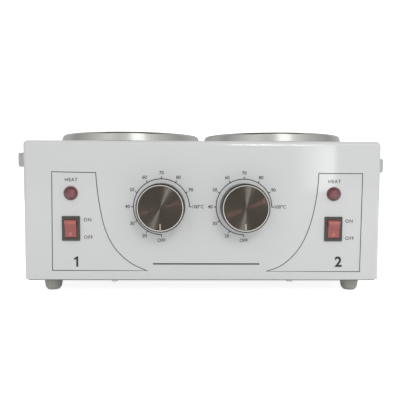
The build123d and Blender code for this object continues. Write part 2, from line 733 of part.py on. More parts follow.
def make_knob_body():
    """Hollow knob with a ribbed skirt, a chamfered front and a hub on the shaft."""
    face_back = KNOB_REACH - KNOB_FACE
    recess = KNOB_REACH - CAP_RECESS - CAP_THICK
    outline = [
        (0, face_back, 0),
        (KNOB_BACK_R - KNOB_WALL, face_back, SOFT_ROUND),
        (KNOB_BACK_R - KNOB_WALL, KNOB_GAP, 0),
        (KNOB_BACK_R, KNOB_GAP, FINE_ROUND),
        (KNOB_FRONT_R, KNOB_REACH - KNOB_BEVEL, 0),
        (KNOB_FRONT_R - KNOB_BEVEL, KNOB_REACH, 0),
        (CAP_R + CAP_FIT, KNOB_REACH, 0),
        (CAP_R + CAP_FIT, recess, 0),
        (0, recess, 0),
    ]
    knob = turned(outline)
    hub_low = BUSH_REACH + HUB_GAP
    knob += rod((0, 0, hub_low), (0, 0, 1), HUB_R, face_back - hub_low)
    knob -= d_shaft(SHAFT_R + SHAFT_FIT, SHAFT_FLAT, hub_low, SHAFT_REACH + SHAFT_FIT)
    groove_low = KNOB_GAP + KNOB_PLAIN_BACK
    groove_high = KNOB_REACH - KNOB_BEVEL - KNOB_PLAIN_FRONT
    tilt = math.degrees(math.atan((KNOB_BACK_R - KNOB_FRONT_R) / (KNOB_REACH - KNOB_GAP)))
    middle = (groove_low + groove_high) / 2
    radius = KNOB_BACK_R - (middle - KNOB_GAP) * math.tan(math.radians(tilt))
    cutter = Box(2 * KNOB_RIB_DEPTH, 2 * KNOB_RIB_DEPTH, groove_high - groove_low)
    cutter = Pos(radius, 0, middle) * Rot(0, -tilt, 0) * Rot(0, 0, 45) * cutter
    grooves = [Rot(0, 0, 360 / KNOB_RIBS * i) * cutter for i in range(KNOB_RIBS)]
    knob = knob.cut(*[solid for groove in grooves for solid in groove.solids()])
    return front_at(KNOB_X, KNOB_Z) * knob


def make_knob_cap():
    """Spun metal disc in the knob's front, with the pointer groove at the bottom."""
    front = KNOB_REACH - CAP_RECESS
    cap = rod((0, 0, front - CAP_THICK), (0, 0, 1), CAP_R, CAP_THICK)
    cap -= block(
        -POINTER_WIDTH / 2, POINTER_WIDTH / 2, -2 * CAP_R, -POINTER_START, front - POINTER_DEPTH, 2 * front
    )
    return front_at(KNOB_X, KNOB_Z) * cap


def make_lamp_lens():
    """Domed lens of the pilot lamp, with its stem through the panel."""
    edge = LAMP_R - LAMP_EDGE
    lens = turned(
        [
            (0, -LAMP_STEM, 0),
            (LAMP_STEM_R, -LAMP_STEM, 0),
            (LAMP_STEM_R, 0, 0),
            (LAMP_R, 0, 0),
            (LAMP_R, LAMP_LIP, FINE_ROUND),
            (edge, LAMP_LIP, 0),
            (0, LAMP_LIP, 0),
        ]
    )
    sphere_r = (edge**2 + LAMP_DOME**2) / (2 * LAMP_DOME)
    dome = Pos(0, 0, LAMP_LIP + LAMP_DOME - sphere_r) * Sphere(sphere_r)
    dome &= block(-LAMP_R, LAMP_R, -LAMP_R, LAMP_R, LAMP_LIP, LAMP_LIP + 2 * LAMP_DOME)
    return front_at(LAMP_X, LAMP_Z) * (lens + dome)


def make_lamp_holder():
    """Lamp holder behind the lens, with a stepped end where its leads come out."""
    end = -LAMP_STEM - LAMP_BODY
    neck_r = LAMP_STEM_R - LAMP_NECK_STEP
    holder = turned(
        [
            (0, end, 0),
            (neck_r, end, EDGE_ROUND),
            (neck_r, end + LAMP_NECK, 0),
            (LAMP_STEM_R, end + LAMP_NECK, 0),
            (LAMP_STEM_R, -LAMP_STEM, 0),
            (0, -LAMP_STEM, 0),
        ]
    )
    return front_at(LAMP_X, LAMP_Z) * holder


def make_lamp_nut():
    """Push-on fixing ring behind the panel."""
    ring = turned(
        [
            (LAMP_STEM_R + SCREW_FIT / 2, -SHEET - LAMP_NUT, 0),
            (LAMP_NUT_R - SOFT_ROUND, -SHEET - LAMP_NUT, 0),
            (LAMP_NUT_R, -SHEET, 0),
            (LAMP_STEM_R + SCREW_FIT / 2, -SHEET, 0),
        ]
    )
    return front_at(LAMP_X, LAMP_Z) * ring


def rocker_radius():
    """Radius of the rocker's ends about its pivot."""
    corner = ROCKER_VALLEY + ROCKER_HALF * math.tan(math.radians(ROCKER_TILT))
    return math.hypot(ROCKER_HALF, corner)


def make_switch_body():
    """Switch body with its bezel, snapped into the panel."""
    body = block(
        -BEZEL_WIDTH / 2, BEZEL_WIDTH / 2, -BEZEL_HEIGHT / 2, BEZEL_HEIGHT / 2, 0, BEZEL_THICK
    )
    rounded = body.edges().filter_by(Axis.Z) + body.edges().group_by(Axis.Z)[-1]
    body = fillet(rounded, EDGE_ROUND)
    body += block(
        -SWITCH_WIDTH / 2, SWITCH_WIDTH / 2, -SWITCH_HEIGHT / 2, SWITCH_HEIGHT / 2, -SWITCH_DEPTH, 0
    )
    for t in (-1, 1):
        y = t * SWITCH_HEIGHT / 2
        high = -SHEET - LATCH_GAP
        tip = (y + t * LATCH_REACH, high - LATCH_GAP)
        latch = make_face(Polyline((y, high), tip, (y, -LATCH_END), close=True))
        body += extrude(Plane.YZ * latch, LATCH_HALF, both=True)
    half = rocker_radius() + ROCKER_FIT
    wide = ROCKER_WIDTH / 2 + ROCKER_FIT
    swing = rocker_radius() * math.sin(math.radians(ROCKER_TILT)) + ROCKER_BACK + ROCKER_FIT
    body -= block(-wide, wide, -half, half, -PIVOT_DEPTH - swing, 2 * BEZEL_THICK)
    reach = wide + PIVOT_LENGTH
    body -= rod((-reach, 0, -PIVOT_DEPTH), (1, 0, 0), PIVOT_R + PIVOT_FIT, 2 * reach)
    return front_at(SWITCH_X, SWITCH_Z) * body


def make_rocker():
    """Two-faced rocker on its pivot pins, resting with its lower half pressed in."""
    radius = rocker_radius()
    rise = ROCKER_HALF * math.tan(math.radians(ROCKER_TILT))
    corner = ROCKER_VALLEY + rise
    back_half = math.sqrt(radius**2 - ROCKER_BACK**2)
    outline = (
        Polyline((-ROCKER_HALF, corner), (0, ROCKER_VALLEY), (ROCKER_HALF, corner))
        + ThreePointArc((ROCKER_HALF, corner), (radius, 0), (back_half, -ROCKER_BACK))
        + Line((back_half, -ROCKER_BACK), (-back_half, -ROCKER_BACK))
        + ThreePointArc((-back_half, -ROCKER_BACK), (-radius, 0), (-ROCKER_HALF, corner))
    )
    rocker = extrude(Plane.YZ * make_face(outline), ROCKER_WIDTH / 2, both=True)
    ends = rocker.edges().filter_by(Axis.X).group_by(Axis.Z)[-1]
    rocker = fillet(ends, EDGE_ROUND)
    reach = ROCKER_WIDTH / 2 + ROCKER_FIT + PIVOT_LENGTH - PIVOT_FIT
    rocker += rod((-reach, 0, 0), (1, 0, 0), PIVOT_R, 2 * reach)
    return front_at(SWITCH_X, SWITCH_Z) * Pos(0, 0, -PIVOT_DEPTH) * Rot(ROCKER_TILT, 0, 0) * rocker


def switch_tab_places():
    """Where the switch's three tabs end, from the lowest to the highest."""
    y = FRONT + SWITCH_DEPTH + TAB_LENGTH
    return [(SWITCH_X, y, SWITCH_Z + i * SWITCH_TAB_PITCH) for i in (-1, 0, 1)]


def make_switch_terminals():
    """Three spade tabs at the switch's back."""
    tabs = []
    for x, y, z in switch_tab_places():
        tab = block(
            x - TAB_WIDTH / 2, x + TAB_WIDTH / 2, y - TAB_LENGTH, y, z - TAB_THICK / 2, z + TAB_THICK / 2
        )
        tabs.append(tab)
    return tabs


def socket_outline():
    """Outline of the inlet's socket, with its two bevelled upper corners."""
    w, h = SOCKET_WIDTH / 2, SOCKET_HEIGHT / 2
    wb, hb = w - SOCKET_BEVEL, h - SOCKET_BEVEL
    corners = [(-w, -h), (w, -h), (w, hb), (wb, h), (-wb, h), (-w, hb)]
    return make_face(Polyline(*corners, close=True))


def inlet_pin(x, y):
    """One blade of the inlet with its tab behind, in the inlet's own plane."""
    floor = INLET_FLANGE - SOCKET_DEPTH
    pin = Pos(x, y, floor + PIN_REACH / 2) * Box(PIN_THICK, PIN_HEIGHT, PIN_REACH)
    pin = fillet(pin.faces().sort_by(Axis.Z)[-1].edges(), EDGE_ROUND)
    end = INLET_FLANGE - INLET_BODY_DEPTH - TAB_LENGTH
    tab = Pos(x, y, (end + floor) / 2) * Box(TAB_THICK, TAB_WIDTH, floor - end)
    return pin + tab


def make_inlet():
    """Mains inlet: the moulded body, its three pins and its two screws."""
    place = back_at(0, INLET_Z)
    flange = RectangleRounded(INLET_FLANGE_WIDTH, INLET_FLANGE_HEIGHT, INLET_FLANGE_CORNER)
    body = extrude(flange, INLET_FLANGE)
    low = INLET_FLANGE - INLET_BODY_DEPTH
    w, h = INLET_BODY_WIDTH / 2, INLET_BODY_HEIGHT / 2
    body += block(-w, w, -h, h, low, INLET_FLANGE)
    floor = INLET_FLANGE - SOCKET_DEPTH
    body -= Pos(0, 0, floor) * extrude(socket_outline(), SOCKET_DEPTH)
    pins = [inlet_pin(x, y) for x, y in ((-PIN_X, PIN_Z), (0, EARTH_PIN_Z), (PIN_X, PIN_Z))]
    for pin in pins:
        body -= pin
    screws = []
    for t in (-1, 1):
        x = t * INLET_SCREW_X
        head = Pos(x, 0, INLET_FLANGE - M3_HEAD / 2) * Cone(M3_R, M3_HEAD_R, M3_HEAD)
        body -= head
        body -= rod((x, 0, low), (0, 0, 1), M3_R + SCREW_FIT, INLET_BODY_DEPTH)
        length = INLET_FLANGE + SHEET + M3_NUT + M3_R / 2
        screw = head + rod((x, 0, INLET_FLANGE - M3_HEAD), (0, 0, -1), M3_R, length - M3_HEAD)
        screw -= Pos(x, 0, INLET_FLANGE) * Box(DRIVE_SLOT, 1.4 * M3_HEAD_R, M3_HEAD)
        screw -= Pos(x, 0, INLET_FLANGE) * Box(1.4 * M3_HEAD_R, DRIVE_SLOT, M3_HEAD)
        screws.append(place * screw)
        screws.append(place * hexagon_nut((x, 0, -SHEET), (0, 0, -1), M3_NUT_R, M3_R, M3_NUT))
    return place * body, [place * pin for pin in pins], screws


def block_ways():
    """X of each way of the terminal block, from left to right."""
    return [(i - (BLOCK_WAYS - 1) / 2) * BLOCK_PITCH for i in range(BLOCK_WAYS)]


def make_terminal_block():
    """Strip of screw terminals on the base plate, with a lug at each end."""
    half = BLOCK_WAYS * BLOCK_PITCH / 2
    deep = BLOCK_DEPTH / 2
    strip = block(-half, half, BLOCK_Y - deep, BLOCK_Y + deep, CASE_LOW, CASE_LOW + BLOCK_HEIGHT)
    for s in (-1, 1):
        near, far = BLOCK_Y + s * (deep - BLOCK_STEP), BLOCK_Y + s * 2 * deep
        strip -= block(-half, half, near, far, CASE_LOW + BLOCK_HEIGHT - BLOCK_STEP, CASE_TOP)
        x0, x1 = s * half, s * (half + 2 * BLOCK_STEP)
        y0, y1 = BLOCK_Y - deep / 2, BLOCK_Y + deep / 2
        strip += block(x0, x1, y0, y1, CASE_LOW, CASE_LOW + BLOCK_LUG)
        strip -= rod((s * (half + BLOCK_STEP), BLOCK_Y, 0), (0, 0, 1), M3_R + SCREW_FIT, CASE_TOP)
    slit_low = CASE_LOW + BLOCK_HEIGHT - 2 * BLOCK_STEP
    for x in block_ways()[1:]:
        middle = x - BLOCK_PITCH / 2
        x0, x1 = middle - BLOCK_SLIT / 2, middle + BLOCK_SLIT / 2
        strip -= block(x0, x1, BLOCK_Y - 2 * deep, BLOCK_Y + 2 * deep, slit_low, CASE_TOP)
    seat_z = CASE_LOW + BLOCK_HEIGHT / 2
    for x in block_ways():
        strip -= rod((x, BLOCK_Y, seat_z), (0, 0, 1), M3_HEAD_R + SCREW_FIT, BLOCK_HEIGHT)
    return strip


def make_block_screws():
    """The strip's clamping screws, and the two that hold it to the base plate."""
    screws = []
    low = CASE_LOW + BLOCK_HEIGHT / 2
    top = CASE_LOW + BLOCK_HEIGHT - BLOCK_SCREW_DROP
    for x in block_ways():
        screw = rod((x, BLOCK_Y, low), (0, 0, 1), M3_HEAD_R, top - low)
        screws.append(screw - Pos(x, BLOCK_Y, top) * Box(2 * M3_HEAD_R, DRIVE_SLOT, 2 * DRIVE_SLOT))
    shank = BLOCK_LUG + BASE_SHEET + M3_NUT
    for s in (-1, 1):
        x = s * (BLOCK_WAYS * BLOCK_PITCH / 2 + BLOCK_STEP)
        seat = (x, BLOCK_Y, CASE_LOW + BLOCK_LUG)
        screws.append(pan_screw(seat, (0, 0, -1), M3_R, M3_HEAD_R, M3_HEAD, shank))
        screws.append(hexagon_nut((x, BLOCK_Y, FOOT_HEIGHT), (0, 0, -1), M3_NUT_R, M3_R, M3_NUT))
    return screws


def make_earth_fasteners():
    """Earth screw through the base plate, with its nut and the ring tag under it."""
    seat = (EARTH_X, EARTH_Y, FOOT_HEIGHT)
    tag = rod((EARTH_X, EARTH_Y, CASE_LOW), (0, 0, 1), M4_NUT_R, BASE_SHEET)
    y0, y1 = EARTH_Y - EARTH_TAG_HALF, EARTH_Y + EARTH_TAG_HALF
    tag += block(EARTH_X - 2 * M4_NUT_R, EARTH_X, y0, y1, CASE_LOW, CASE_LOW + BASE_SHEET)
    tag -= rod((EARTH_X, EARTH_Y, 0), (0, 0, 1), M4_R + SCREW_FIT, CASE_TOP)
    length = 2 * BASE_SHEET + M4_NUT + M4_R / 2
    screw = pan_screw(seat, (0, 0, 1), M4_R, M4_HEAD_R, M4_HEAD, length)
    nut = hexagon_nut((EARTH_X, EARTH_Y, CASE_LOW + BASE_SHEET), (0, 0, 1), M4_NUT_R, M4_R, M4_NUT)
    return [screw, nut, tag]


def tube(points, radius, name):
    """Tube along straight runs joined by arcs as large as the runs allow."""
    spots = [Vector(*p) for p in points]
    runs = [b - a for a, b in zip(spots, spots[1:])]
    radii = []
    for before, after in zip(runs, runs[1:]):
        half_turn = math.radians(before.get_angle(after) / 2)
        radii.append(ARC_SHARE * min(before.length, after.length) / math.tan(half_turn))
    path = FilletPolyline(*spots, radius=radii)
    section = Plane(origin=spots[0], z_dir=runs[0]) * Circle(radius)
    solid = sweep(section, path)
    ideal = math.pi * radius**2 * path.length
    print(f"{name}: tightest arc {min(radii):.1f} mm, volume over ideal {solid.volume / ideal:.4f}")
    return solid


def make_capillary():
    """Sensing bulb under the well and its capillary up to the thermostat."""
    z = bulb_centre_z()
    half = BULB_LENGTH / 2
    bulb = rod((WELL_X - half, WELL_Y, z), (1, 0, 0), BULB_R, BULB_LENGTH)
    stat_back = INNER_FRONT + BRACKET_THICK + STAT_DEPTH
    x_in = KNOB_X - STAT_WIDTH / 2 + 3
    end_z = KNOB_Z - 6
    points = [
        (WELL_X - half, WELL_Y, z),
        (WELL_X - half - 9, WELL_Y, z),
        (x_in, WELL_Y - 9, z - 1),
        (x_in, WELL_Y - 28, z - 3),
        (x_in, stat_back + 10, end_z),
        (x_in, stat_back, end_z),
    ]
    return bulb + tube(points, CAPILLARY_R, "capillary")


def make_leads():
    """Internal wiring of the right-hand side, by the colour of each lead."""
    low_tab, middle_tab, _ = switch_tab_places()
    out_heater, out_lamp, stat_in = stat_tab_places()
    ways = block_ways()
    live_way, neutral_way = ways[4], ways[5]
    block_front = BLOCK_Y - BLOCK_DEPTH / 2
    block_back = BLOCK_Y + BLOCK_DEPTH / 2
    lane = CASE_LOW + LEAD_ENTRY
    beneath = stat_in[2] - 8
    lamp_end = FRONT + LAMP_STEM + LAMP_BODY
    fuse_x, fuse_y, fuse_z = fuse_centre()
    fuse_in = fuse_x - FUSE_LENGTH / 2
    fuse_out = fuse_x + FUSE_LENGTH / 2
    out = band_inside(BAND_LOW) + BAND_THICK / 2
    heater_x = WELL_X + out * math.cos(math.radians(HEATER_LEAD_ANGLE))
    heater_dy = out * math.sin(math.radians(HEATER_LEAD_ANGLE))
    side_lane = SIDE - LANE_INSET
    feed = [
        (live_way, block_front, lane),
        (live_way, block_front - 16, lane),
        (live_way + 26, block_front - 34, lane),
        (SWITCH_X - 26, low_tab[1] + 18, lane + 2),
        (SWITCH_X, low_tab[1] + 16, lane + 14),
        (SWITCH_X, low_tab[1] + 14, low_tab[2]),
        low_tab,
    ]
    to_stat = [
        middle_tab,
        (SWITCH_X, middle_tab[1] + 10, middle_tab[2]),
        (SWITCH_X - 28, middle_tab[1] + 14, beneath + 6),
        (stat_in[0] + 26, stat_in[1] + 18, beneath),
        (stat_in[0], stat_in[1] + 12, beneath),
        (stat_in[0], stat_in[1], beneath),
        stat_in,
    ]
    to_fuse = [
        out_heater,
        (out_heater[0], out_heater[1], beneath),
        (out_heater[0], out_heater[1] + 18, beneath),
        (out_heater[0] + 12, fuse_y - 10, fuse_z - 12),
        (fuse_in - 12, fuse_y, fuse_z),
        (fuse_in, fuse_y, fuse_z),
    ]
    to_heater = [
        (fuse_out, fuse_y, fuse_z),
        (fuse_out + 10, fuse_y, fuse_z),
        (fuse_out + 24, fuse_y - 4, fuse_z - 12),
        (heater_x, WELL_Y - heater_dy, fuse_z - 16),
        (heater_x, WELL_Y - heater_dy, BAND_LOW),
    ]
    from_heater = [
        (heater_x, WELL_Y + heater_dy, BAND_LOW),
        (heater_x, WELL_Y + heater_dy, lane + 14),
        (heater_x - 14, WELL_Y + heater_dy + 8, lane + 4),
        (neutral_way + 16, block_back + 23, lane),
        (neutral_way + LEAD_OFFSET, block_back + 17, lane),
        (neutral_way + LEAD_OFFSET, block_back, lane),
    ]
    lamp_live = [
        (LAMP_X - 2, lamp_end, LAMP_Z),
        (LAMP_X - 2, lamp_end + 10, LAMP_Z),
        (LAMP_X - 13, lamp_end + 18, WELL_LOW - 9),
        (out_lamp[0] + 26, out_lamp[1] + 26, WELL_LOW - 15),
        (out_lamp[0], out_lamp[1] + 20, beneath + 2),
        (out_lamp[0], out_lamp[1], beneath - 3),
        out_lamp,
    ]
    lamp_neutral = [
        (LAMP_X + 2, lamp_end, LAMP_Z),
        (LAMP_X + 2, lamp_end + 8, LAMP_Z),
        (LAMP_X + 12, lamp_end + 16, LAMP_Z - 18),
        (side_lane, lamp_end + 40, lane + 20),
        (side_lane, WELL_Y + 40, lane + 4),
        (side_lane - 24, block_back + 35, lane),
        (neutral_way + 18, block_back + 35, lane),
        (neutral_way - LEAD_OFFSET, block_back + 22, lane),
        (neutral_way - LEAD_OFFSET, block_back, lane),
    ]
    return {
        "live": [tube(p, LEAD_R, "live lead") for p in (feed, to_stat, lamp_live)],
        "heater": [tube(p, LEAD_R, "heater lead") for p in (to_fuse, to_heater)],
        "neutral": [tube(p, LEAD_R, "neutral lead") for p in (from_heater, lamp_neutral)],
    }


def make_inlet_leads():
    """Leads from the inlet's tabs to the terminal block and the earth screw."""
    tab_y = BACK - (INLET_BODY_DEPTH - INLET_FLANGE) - TAB_LENGTH
    lane = CASE_LOW + LEAD_ENTRY
    block_back = BLOCK_Y + BLOCK_DEPTH / 2
    pole_z = INLET_Z + PIN_Z
    leads = []
    for x_pin, x_way in ((-PIN_X, block_ways()[2]), (PIN_X, block_ways()[3])):
        points = [
            (x_pin, tab_y, pole_z),
            (x_pin, tab_y - 9, pole_z),
            (x_way, block_back + 14, lane),
            (x_way, block_back, lane),
        ]
        leads.append(tube(points, LEAD_R, "inlet lead"))
    earth_z = INLET_Z + EARTH_PIN_Z
    points = [
        (0, tab_y, earth_z),
        (0, tab_y - 9, earth_z),
        (EARTH_X / 2, tab_y - 6, earth_z),
        (EARTH_X - 2 * M4_NUT_R - 4, EARTH_Y - 6, earth_z - 6),
        (EARTH_X - 2 * M4_NUT_R + LEAD_R, EARTH_Y, CASE_LOW + BASE_SHEET + 12),
        (EARTH_X - 2 * M4_NUT_R + LEAD_R, EARTH_Y, CASE_LOW + BASE_SHEET),
    ]
    return leads[0], leads[1], tube(points, LEAD_R, "earth lead")


nodes = {}


def add(name, solids):
    """Records one named piece, or one group of like pieces."""
    nodes[name] = solids


def add_pair(name, solid):
    """Records a right-hand piece and its twin on the left."""
    add(name + "_right", [solid])
    add(name + "_left", [other_side(solid)])


add("housing", [make_housing()])
add("base_plate", [make_base_plate()])
add("base_screws", make_base_screws())
for foot_name, (foot_x, foot_y) in foot_places().items():
    add("foot_" + foot_name, [Pos(foot_x, foot_y, 0) * make_foot()])
add("foot_fasteners", make_foot_fasteners())
add("handle_right", [make_handle(HANDLE_DROP_RIGHT)])
add("handle_left", [other_side(make_handle(HANDLE_DROP_LEFT))])
add("handle_screws", make_handle_screws())
add_pair("wax_pot", make_pot())
add_pair("well", make_well())
add("well_fasteners", make_well_fasteners())
add_pair("heater_band", make_heater_band())
add("band_bolts", make_band_bolts())
add_pair("insulation", make_insulation())
add_pair("bulb_clip", make_bulb_clip())
add_pair("capillary", make_capillary())
add_pair("thermal_fuse", make_thermal_fuse())
add_pair("thermostat_bracket", make_thermostat_bracket())
add_pair("thermostat_body", make_thermostat_body())
add("thermostat_screws", make_thermostat_screws())
add_pair("thermostat_shaft", make_shaft())
add_pair("knob_body", make_knob_body())
add_pair("knob_cap", make_knob_cap())
add_pair("lamp_lens", make_lamp_lens())
add_pair("lamp_holder", make_lamp_holder())
add_pair("lamp_nut", make_lamp_nut())
add_pair("switch_body", make_switch_body())
add_pair("switch_rocker", make_rocker())
terminals = make_switch_terminals()
add("switch_terminals", terminals + [other_side(tab) for tab in terminals])
inlet_body, inlet_pins, inlet_screws = make_inlet()
add("inlet_body", [inlet_body])
add("inlet_pins", inlet_pins)
add("inlet_screws", inlet_screws)
add("terminal_block", [make_terminal_block()])
add("terminal_block_screws", make_block_screws())
add("earth_fasteners", make_earth_fasteners())
leads = make_leads()
live_in, neutral_in, earth_lead = make_inlet_leads()
add("live_leads", leads["live"] + [other_side(lead) for lead in leads["live"]] + [live_in])
add("neutral_leads", leads["neutral"] + [other_side(lead) for lead in leads["neutral"]] + [neutral_in])
add("heater_leads", leads["heater"] + [other_side(lead) for lead in leads["heater"]])
add("earth_lead", [earth_lead])

os.makedirs("parts", exist_ok=True)
for node_name, solids in nodes.items():
    pieces = [solid for shape in solids for solid in shape.solids()]
    piece = pieces[0] if len(pieces) == 1 else Compound(children=pieces)
    export_step(piece, f"parts/{node_name}.step")
print(len(nodes), "nodes written")
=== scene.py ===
"""Looks of a twin wax warmer: paint, polished pots, panel print, knobs, lamps, switches and stage.

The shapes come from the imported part. Everything here is in metres, in the part's own frame:
X to the right, Y to the back, Z up, with the origin under the middle of the warmer.
"""

import math

import bmesh
import bpy
from bpy.props import FloatProperty, FloatVectorProperty, PointerProperty
from mathutils import Matrix, Vector


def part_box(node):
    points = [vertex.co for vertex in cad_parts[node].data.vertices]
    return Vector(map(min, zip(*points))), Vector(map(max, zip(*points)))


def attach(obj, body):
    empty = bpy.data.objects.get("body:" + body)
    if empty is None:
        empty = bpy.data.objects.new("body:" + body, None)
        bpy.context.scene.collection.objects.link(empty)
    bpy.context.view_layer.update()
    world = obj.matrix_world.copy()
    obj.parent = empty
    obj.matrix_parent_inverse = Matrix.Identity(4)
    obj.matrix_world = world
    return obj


bl_info = {
    "name": "Twin Wax Warmer",
    "version": (1, 0, 0),
    "blender": (4, 5, 0),
    "location": "View3D > Sidebar > Warmer",
    "description": "Finishes a twin wax warmer and sets it on a plain stage",
    "category": "Object",
}

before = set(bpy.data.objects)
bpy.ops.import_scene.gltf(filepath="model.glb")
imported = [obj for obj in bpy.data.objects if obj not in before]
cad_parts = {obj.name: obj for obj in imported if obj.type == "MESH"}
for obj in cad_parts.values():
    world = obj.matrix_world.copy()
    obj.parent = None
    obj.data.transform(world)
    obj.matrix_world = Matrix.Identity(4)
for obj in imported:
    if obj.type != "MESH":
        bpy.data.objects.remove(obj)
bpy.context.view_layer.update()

MM = 0.001
SIDES = ("left", "right")


def middle(node):
    """Centre of a CAD node's box."""
    low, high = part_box(node)
    return (low + high) / 2


PANEL_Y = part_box("housing")[0].y
CASE_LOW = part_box("housing")[0].z
CAP_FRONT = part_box("knob_cap_left")[0].y
KNOB = {side: middle("knob_cap_" + side) for side in SIDES}
POT = {side: middle("wax_pot_" + side) for side in SIDES}
ROCKER = {side: middle("switch_body_" + side) for side in SIDES}


def linear(code):
    """Linear RGB of an sRGB hex colour."""
    parts = [int(code[i : i + 2], 16) / 255 for i in (1, 3, 5)]
    return tuple(c / 12.92 if c <= 0.04045 else ((c + 0.055) / 1.055) ** 2.4 for c in parts)


def colour_property(name, description, code):
    """A colour that a user can change."""
    return FloatVectorProperty(
        name=name, description=description, subtype="COLOR", size=3, min=0, max=1, default=linear(code)
    )


def length_property(name, description, value_mm):
    """A length that a user can change, given in millimetres."""
    return FloatProperty(
        name=name, description=description, unit="LENGTH", default=value_mm * MM, precision=5
    )


def power_property(name, description, watts):
    """A lamp's power that a user can change, given in watts."""
    return FloatProperty(name=name, description=description, unit="POWER", default=watts, min=0)


class WarmerFinishes(bpy.types.PropertyGroup):
    """Colours of the warmer's pieces."""

    paint: colour_property("Paint", "Powder coat of the steel casing", "#D5D6D6")
    handle: colour_property("Handles", "Moulded plastic of the side handles", "#B1B2B1")
    rubber: colour_property("Feet", "Rubber of the four feet", "#AEB0A6")
    pot: colour_property("Pots", "Polished aluminium of the wax pots", "#C9CAC6")
    disc: colour_property("Knob disc", "Dark anodised disc in each knob", "#4C4740")
    skirt: colour_property("Knob skirt", "Lacquer of each knob's ribbed skirt", "#35312E")
    lens: colour_property("Lamp lens", "Red lens of the pilot lamps", "#7C3D41")
    rocker: colour_property("Rocker", "Translucent red of the switch rockers", "#9C4A49")
    bezel: colour_property("Bezel", "Nylon around each rocker", "#3E3B36")
    ink: colour_property("Ink", "Screen-printed lines and letters on the panel", "#2C2E2F")


class WarmerPrint(bpy.types.PropertyGroup):
    """Sizes of the print on the panel."""

    line: length_property("Line", "Width of the printed frames' lines", 0.65)
    dial_line: length_property("Dial line", "Width of the dials' rings and ticks", 0.75)
    dial_radius: length_property("Dial radius", "Radius of the printed ring round each knob", 23.6)
    tick: length_property("Tick", "Length of each dial tick", 2.0)
    label_radius: length_property("Label radius", "How far the numbers stand from the knob's axis", 28.6)
    number_height: length_property("Number height", "Height of the dial's numbers", 2.9)
    legend_height: length_property("Legend height", "Height of the words by lamps and switches", 2.9)
    side_number_height: length_property("Side number height", "Height of the large 1 and 2", 8.8)
    rule_width: length_property("Rule", "Width of the rule under the knobs", 1.2)


class WarmerStage(bpy.types.PropertyGroup):
    """Light of the stage."""

    key: power_property("Key", "Power of the small lamp at the upper right", 2.9)
    fill: power_property("Fill", "Power of the back lamp; the front and right lamps have a share", 3.0)
    knob_light: power_property("Knob light", "Power of the lamp on the knobs' discs", 9.0)
    lens_light: power_property("Lens light", "Power of the lamp on the lenses and rockers", 1.3)
    ambient: FloatProperty(
        name="Ambient", description="Even light from all round", default=0.76, min=0
    )


def add_node(tree, kind, settings=None, links=None):
    """Adds a shader node with its settings, and its inputs as values or as links."""
    node = tree.nodes.new(kind)
    for name, value in (settings or {}).items():
        setattr(node, name, value)
    for socket, value in (links or {}).items():
        if isinstance(value, bpy.types.NodeSocket):
            tree.links.new(value, node.inputs[socket])
        else:
            node.inputs[socket].default_value = value
    return node


def new_finish(name, colour, **sockets):
    """A Principled material with its sockets set, and the material's tree and shader."""
    material = bpy.data.materials.new(name)
    material.use_nodes = True
    tree = material.node_tree
    shader = tree.nodes["Principled BSDF"]
    shader.inputs["Base Color"].default_value = (*colour[:3], 1)
    for socket, value in sockets.items():
        shader.inputs[socket.replace("_", " ")].default_value = value
    material.diffuse_color = (*colour[:3], 1)
    return material, tree, shader


# A pixel covers about 0.8 mm of the warmer. Grain that is really finer than 0.6 mm, such as spark
# texture, ink or lacquer, is drawn 0.6 to 1.2 mm across, which is as fine as still shows.
def grain(tree, shader, size_mm, depth_mm, strength=1.0):
    """Roughens a surface with a noise bump whose grain has a real size, and returns the noise."""
    place = add_node(tree, "ShaderNodeTexCoord")
    noise = add_node(
        tree,
        "ShaderNodeTexNoise",
        {"noise_dimensions": "3D"},
        {"Vector": place.outputs["Object"], "Scale": 1 / (size_mm * MM), "Detail": 2.0},
    )
    bump = add_node(
        tree,
        "ShaderNodeBump",
        None,
        {"Height": noise.outputs["Fac"], "Strength": strength, "Distance": depth_mm * MM},
    )
    tree.links.new(bump.outputs["Normal"], shader.inputs["Normal"])
    return noise


# What is kept of a place to measure how far it lies from an axis: an upright one, or a knob's.
ROUND_UPRIGHT = (1, 1, 0)
ROUND_KNOB = (1, 0, 1)


def turned_lines(tree, shader, centre, kept, pitch_mm, depth_mm):
    """Lathe lines as a bump that changes with the distance from an axis and the place along it."""
    place = add_node(tree, "ShaderNodeTexCoord")
    shift = add_node(
        tree,
        "ShaderNodeVectorMath",
        {"operation": "SUBTRACT"},
        {0: place.outputs["Object"], 1: tuple(centre)},
    )
    across = add_node(
        tree, "ShaderNodeVectorMath", {"operation": "MULTIPLY"}, {0: shift.outputs[0], 1: kept}
    )
    radius = add_node(tree, "ShaderNodeVectorMath", {"operation": "LENGTH"}, {0: across.outputs[0]})
    split = add_node(tree, "ShaderNodeSeparateXYZ", None, {0: place.outputs["Object"]})
    along = "Z" if kept == ROUND_UPRIGHT else "Y"
    station = add_node(
        tree,
        "ShaderNodeMath",
        {"operation": "ADD"},
        {0: radius.outputs["Value"], 1: split.outputs[along]},
    )
    lines = add_node(
        tree,
        "ShaderNodeTexNoise",
        {"noise_dimensions": "1D"},
        {"W": station.outputs[0], "Scale": 1 / (pitch_mm * MM), "Detail": 3.0, "Roughness": 0.7},
    )
    bump = add_node(
        tree,
        "ShaderNodeBump",
        None,
        {"Height": lines.outputs["Fac"], "Strength": 0.6, "Distance": depth_mm * MM},
    )
    tree.links.new(bump.outputs["Normal"], shader.inputs["Normal"])


def two_tone(tree, shader, share, first, second):
    """Blends a surface's colour from a first to a second one by a share that varies over it."""
    blend = add_node(
        tree,
        "ShaderNodeMix",
        {"data_type": "RGBA"},
        {"Factor": share, "A": (*first, 1), "B": (*second, 1)},
    )
    tree.links.new(blend.outputs["Result"], shader.inputs["Base Color"])


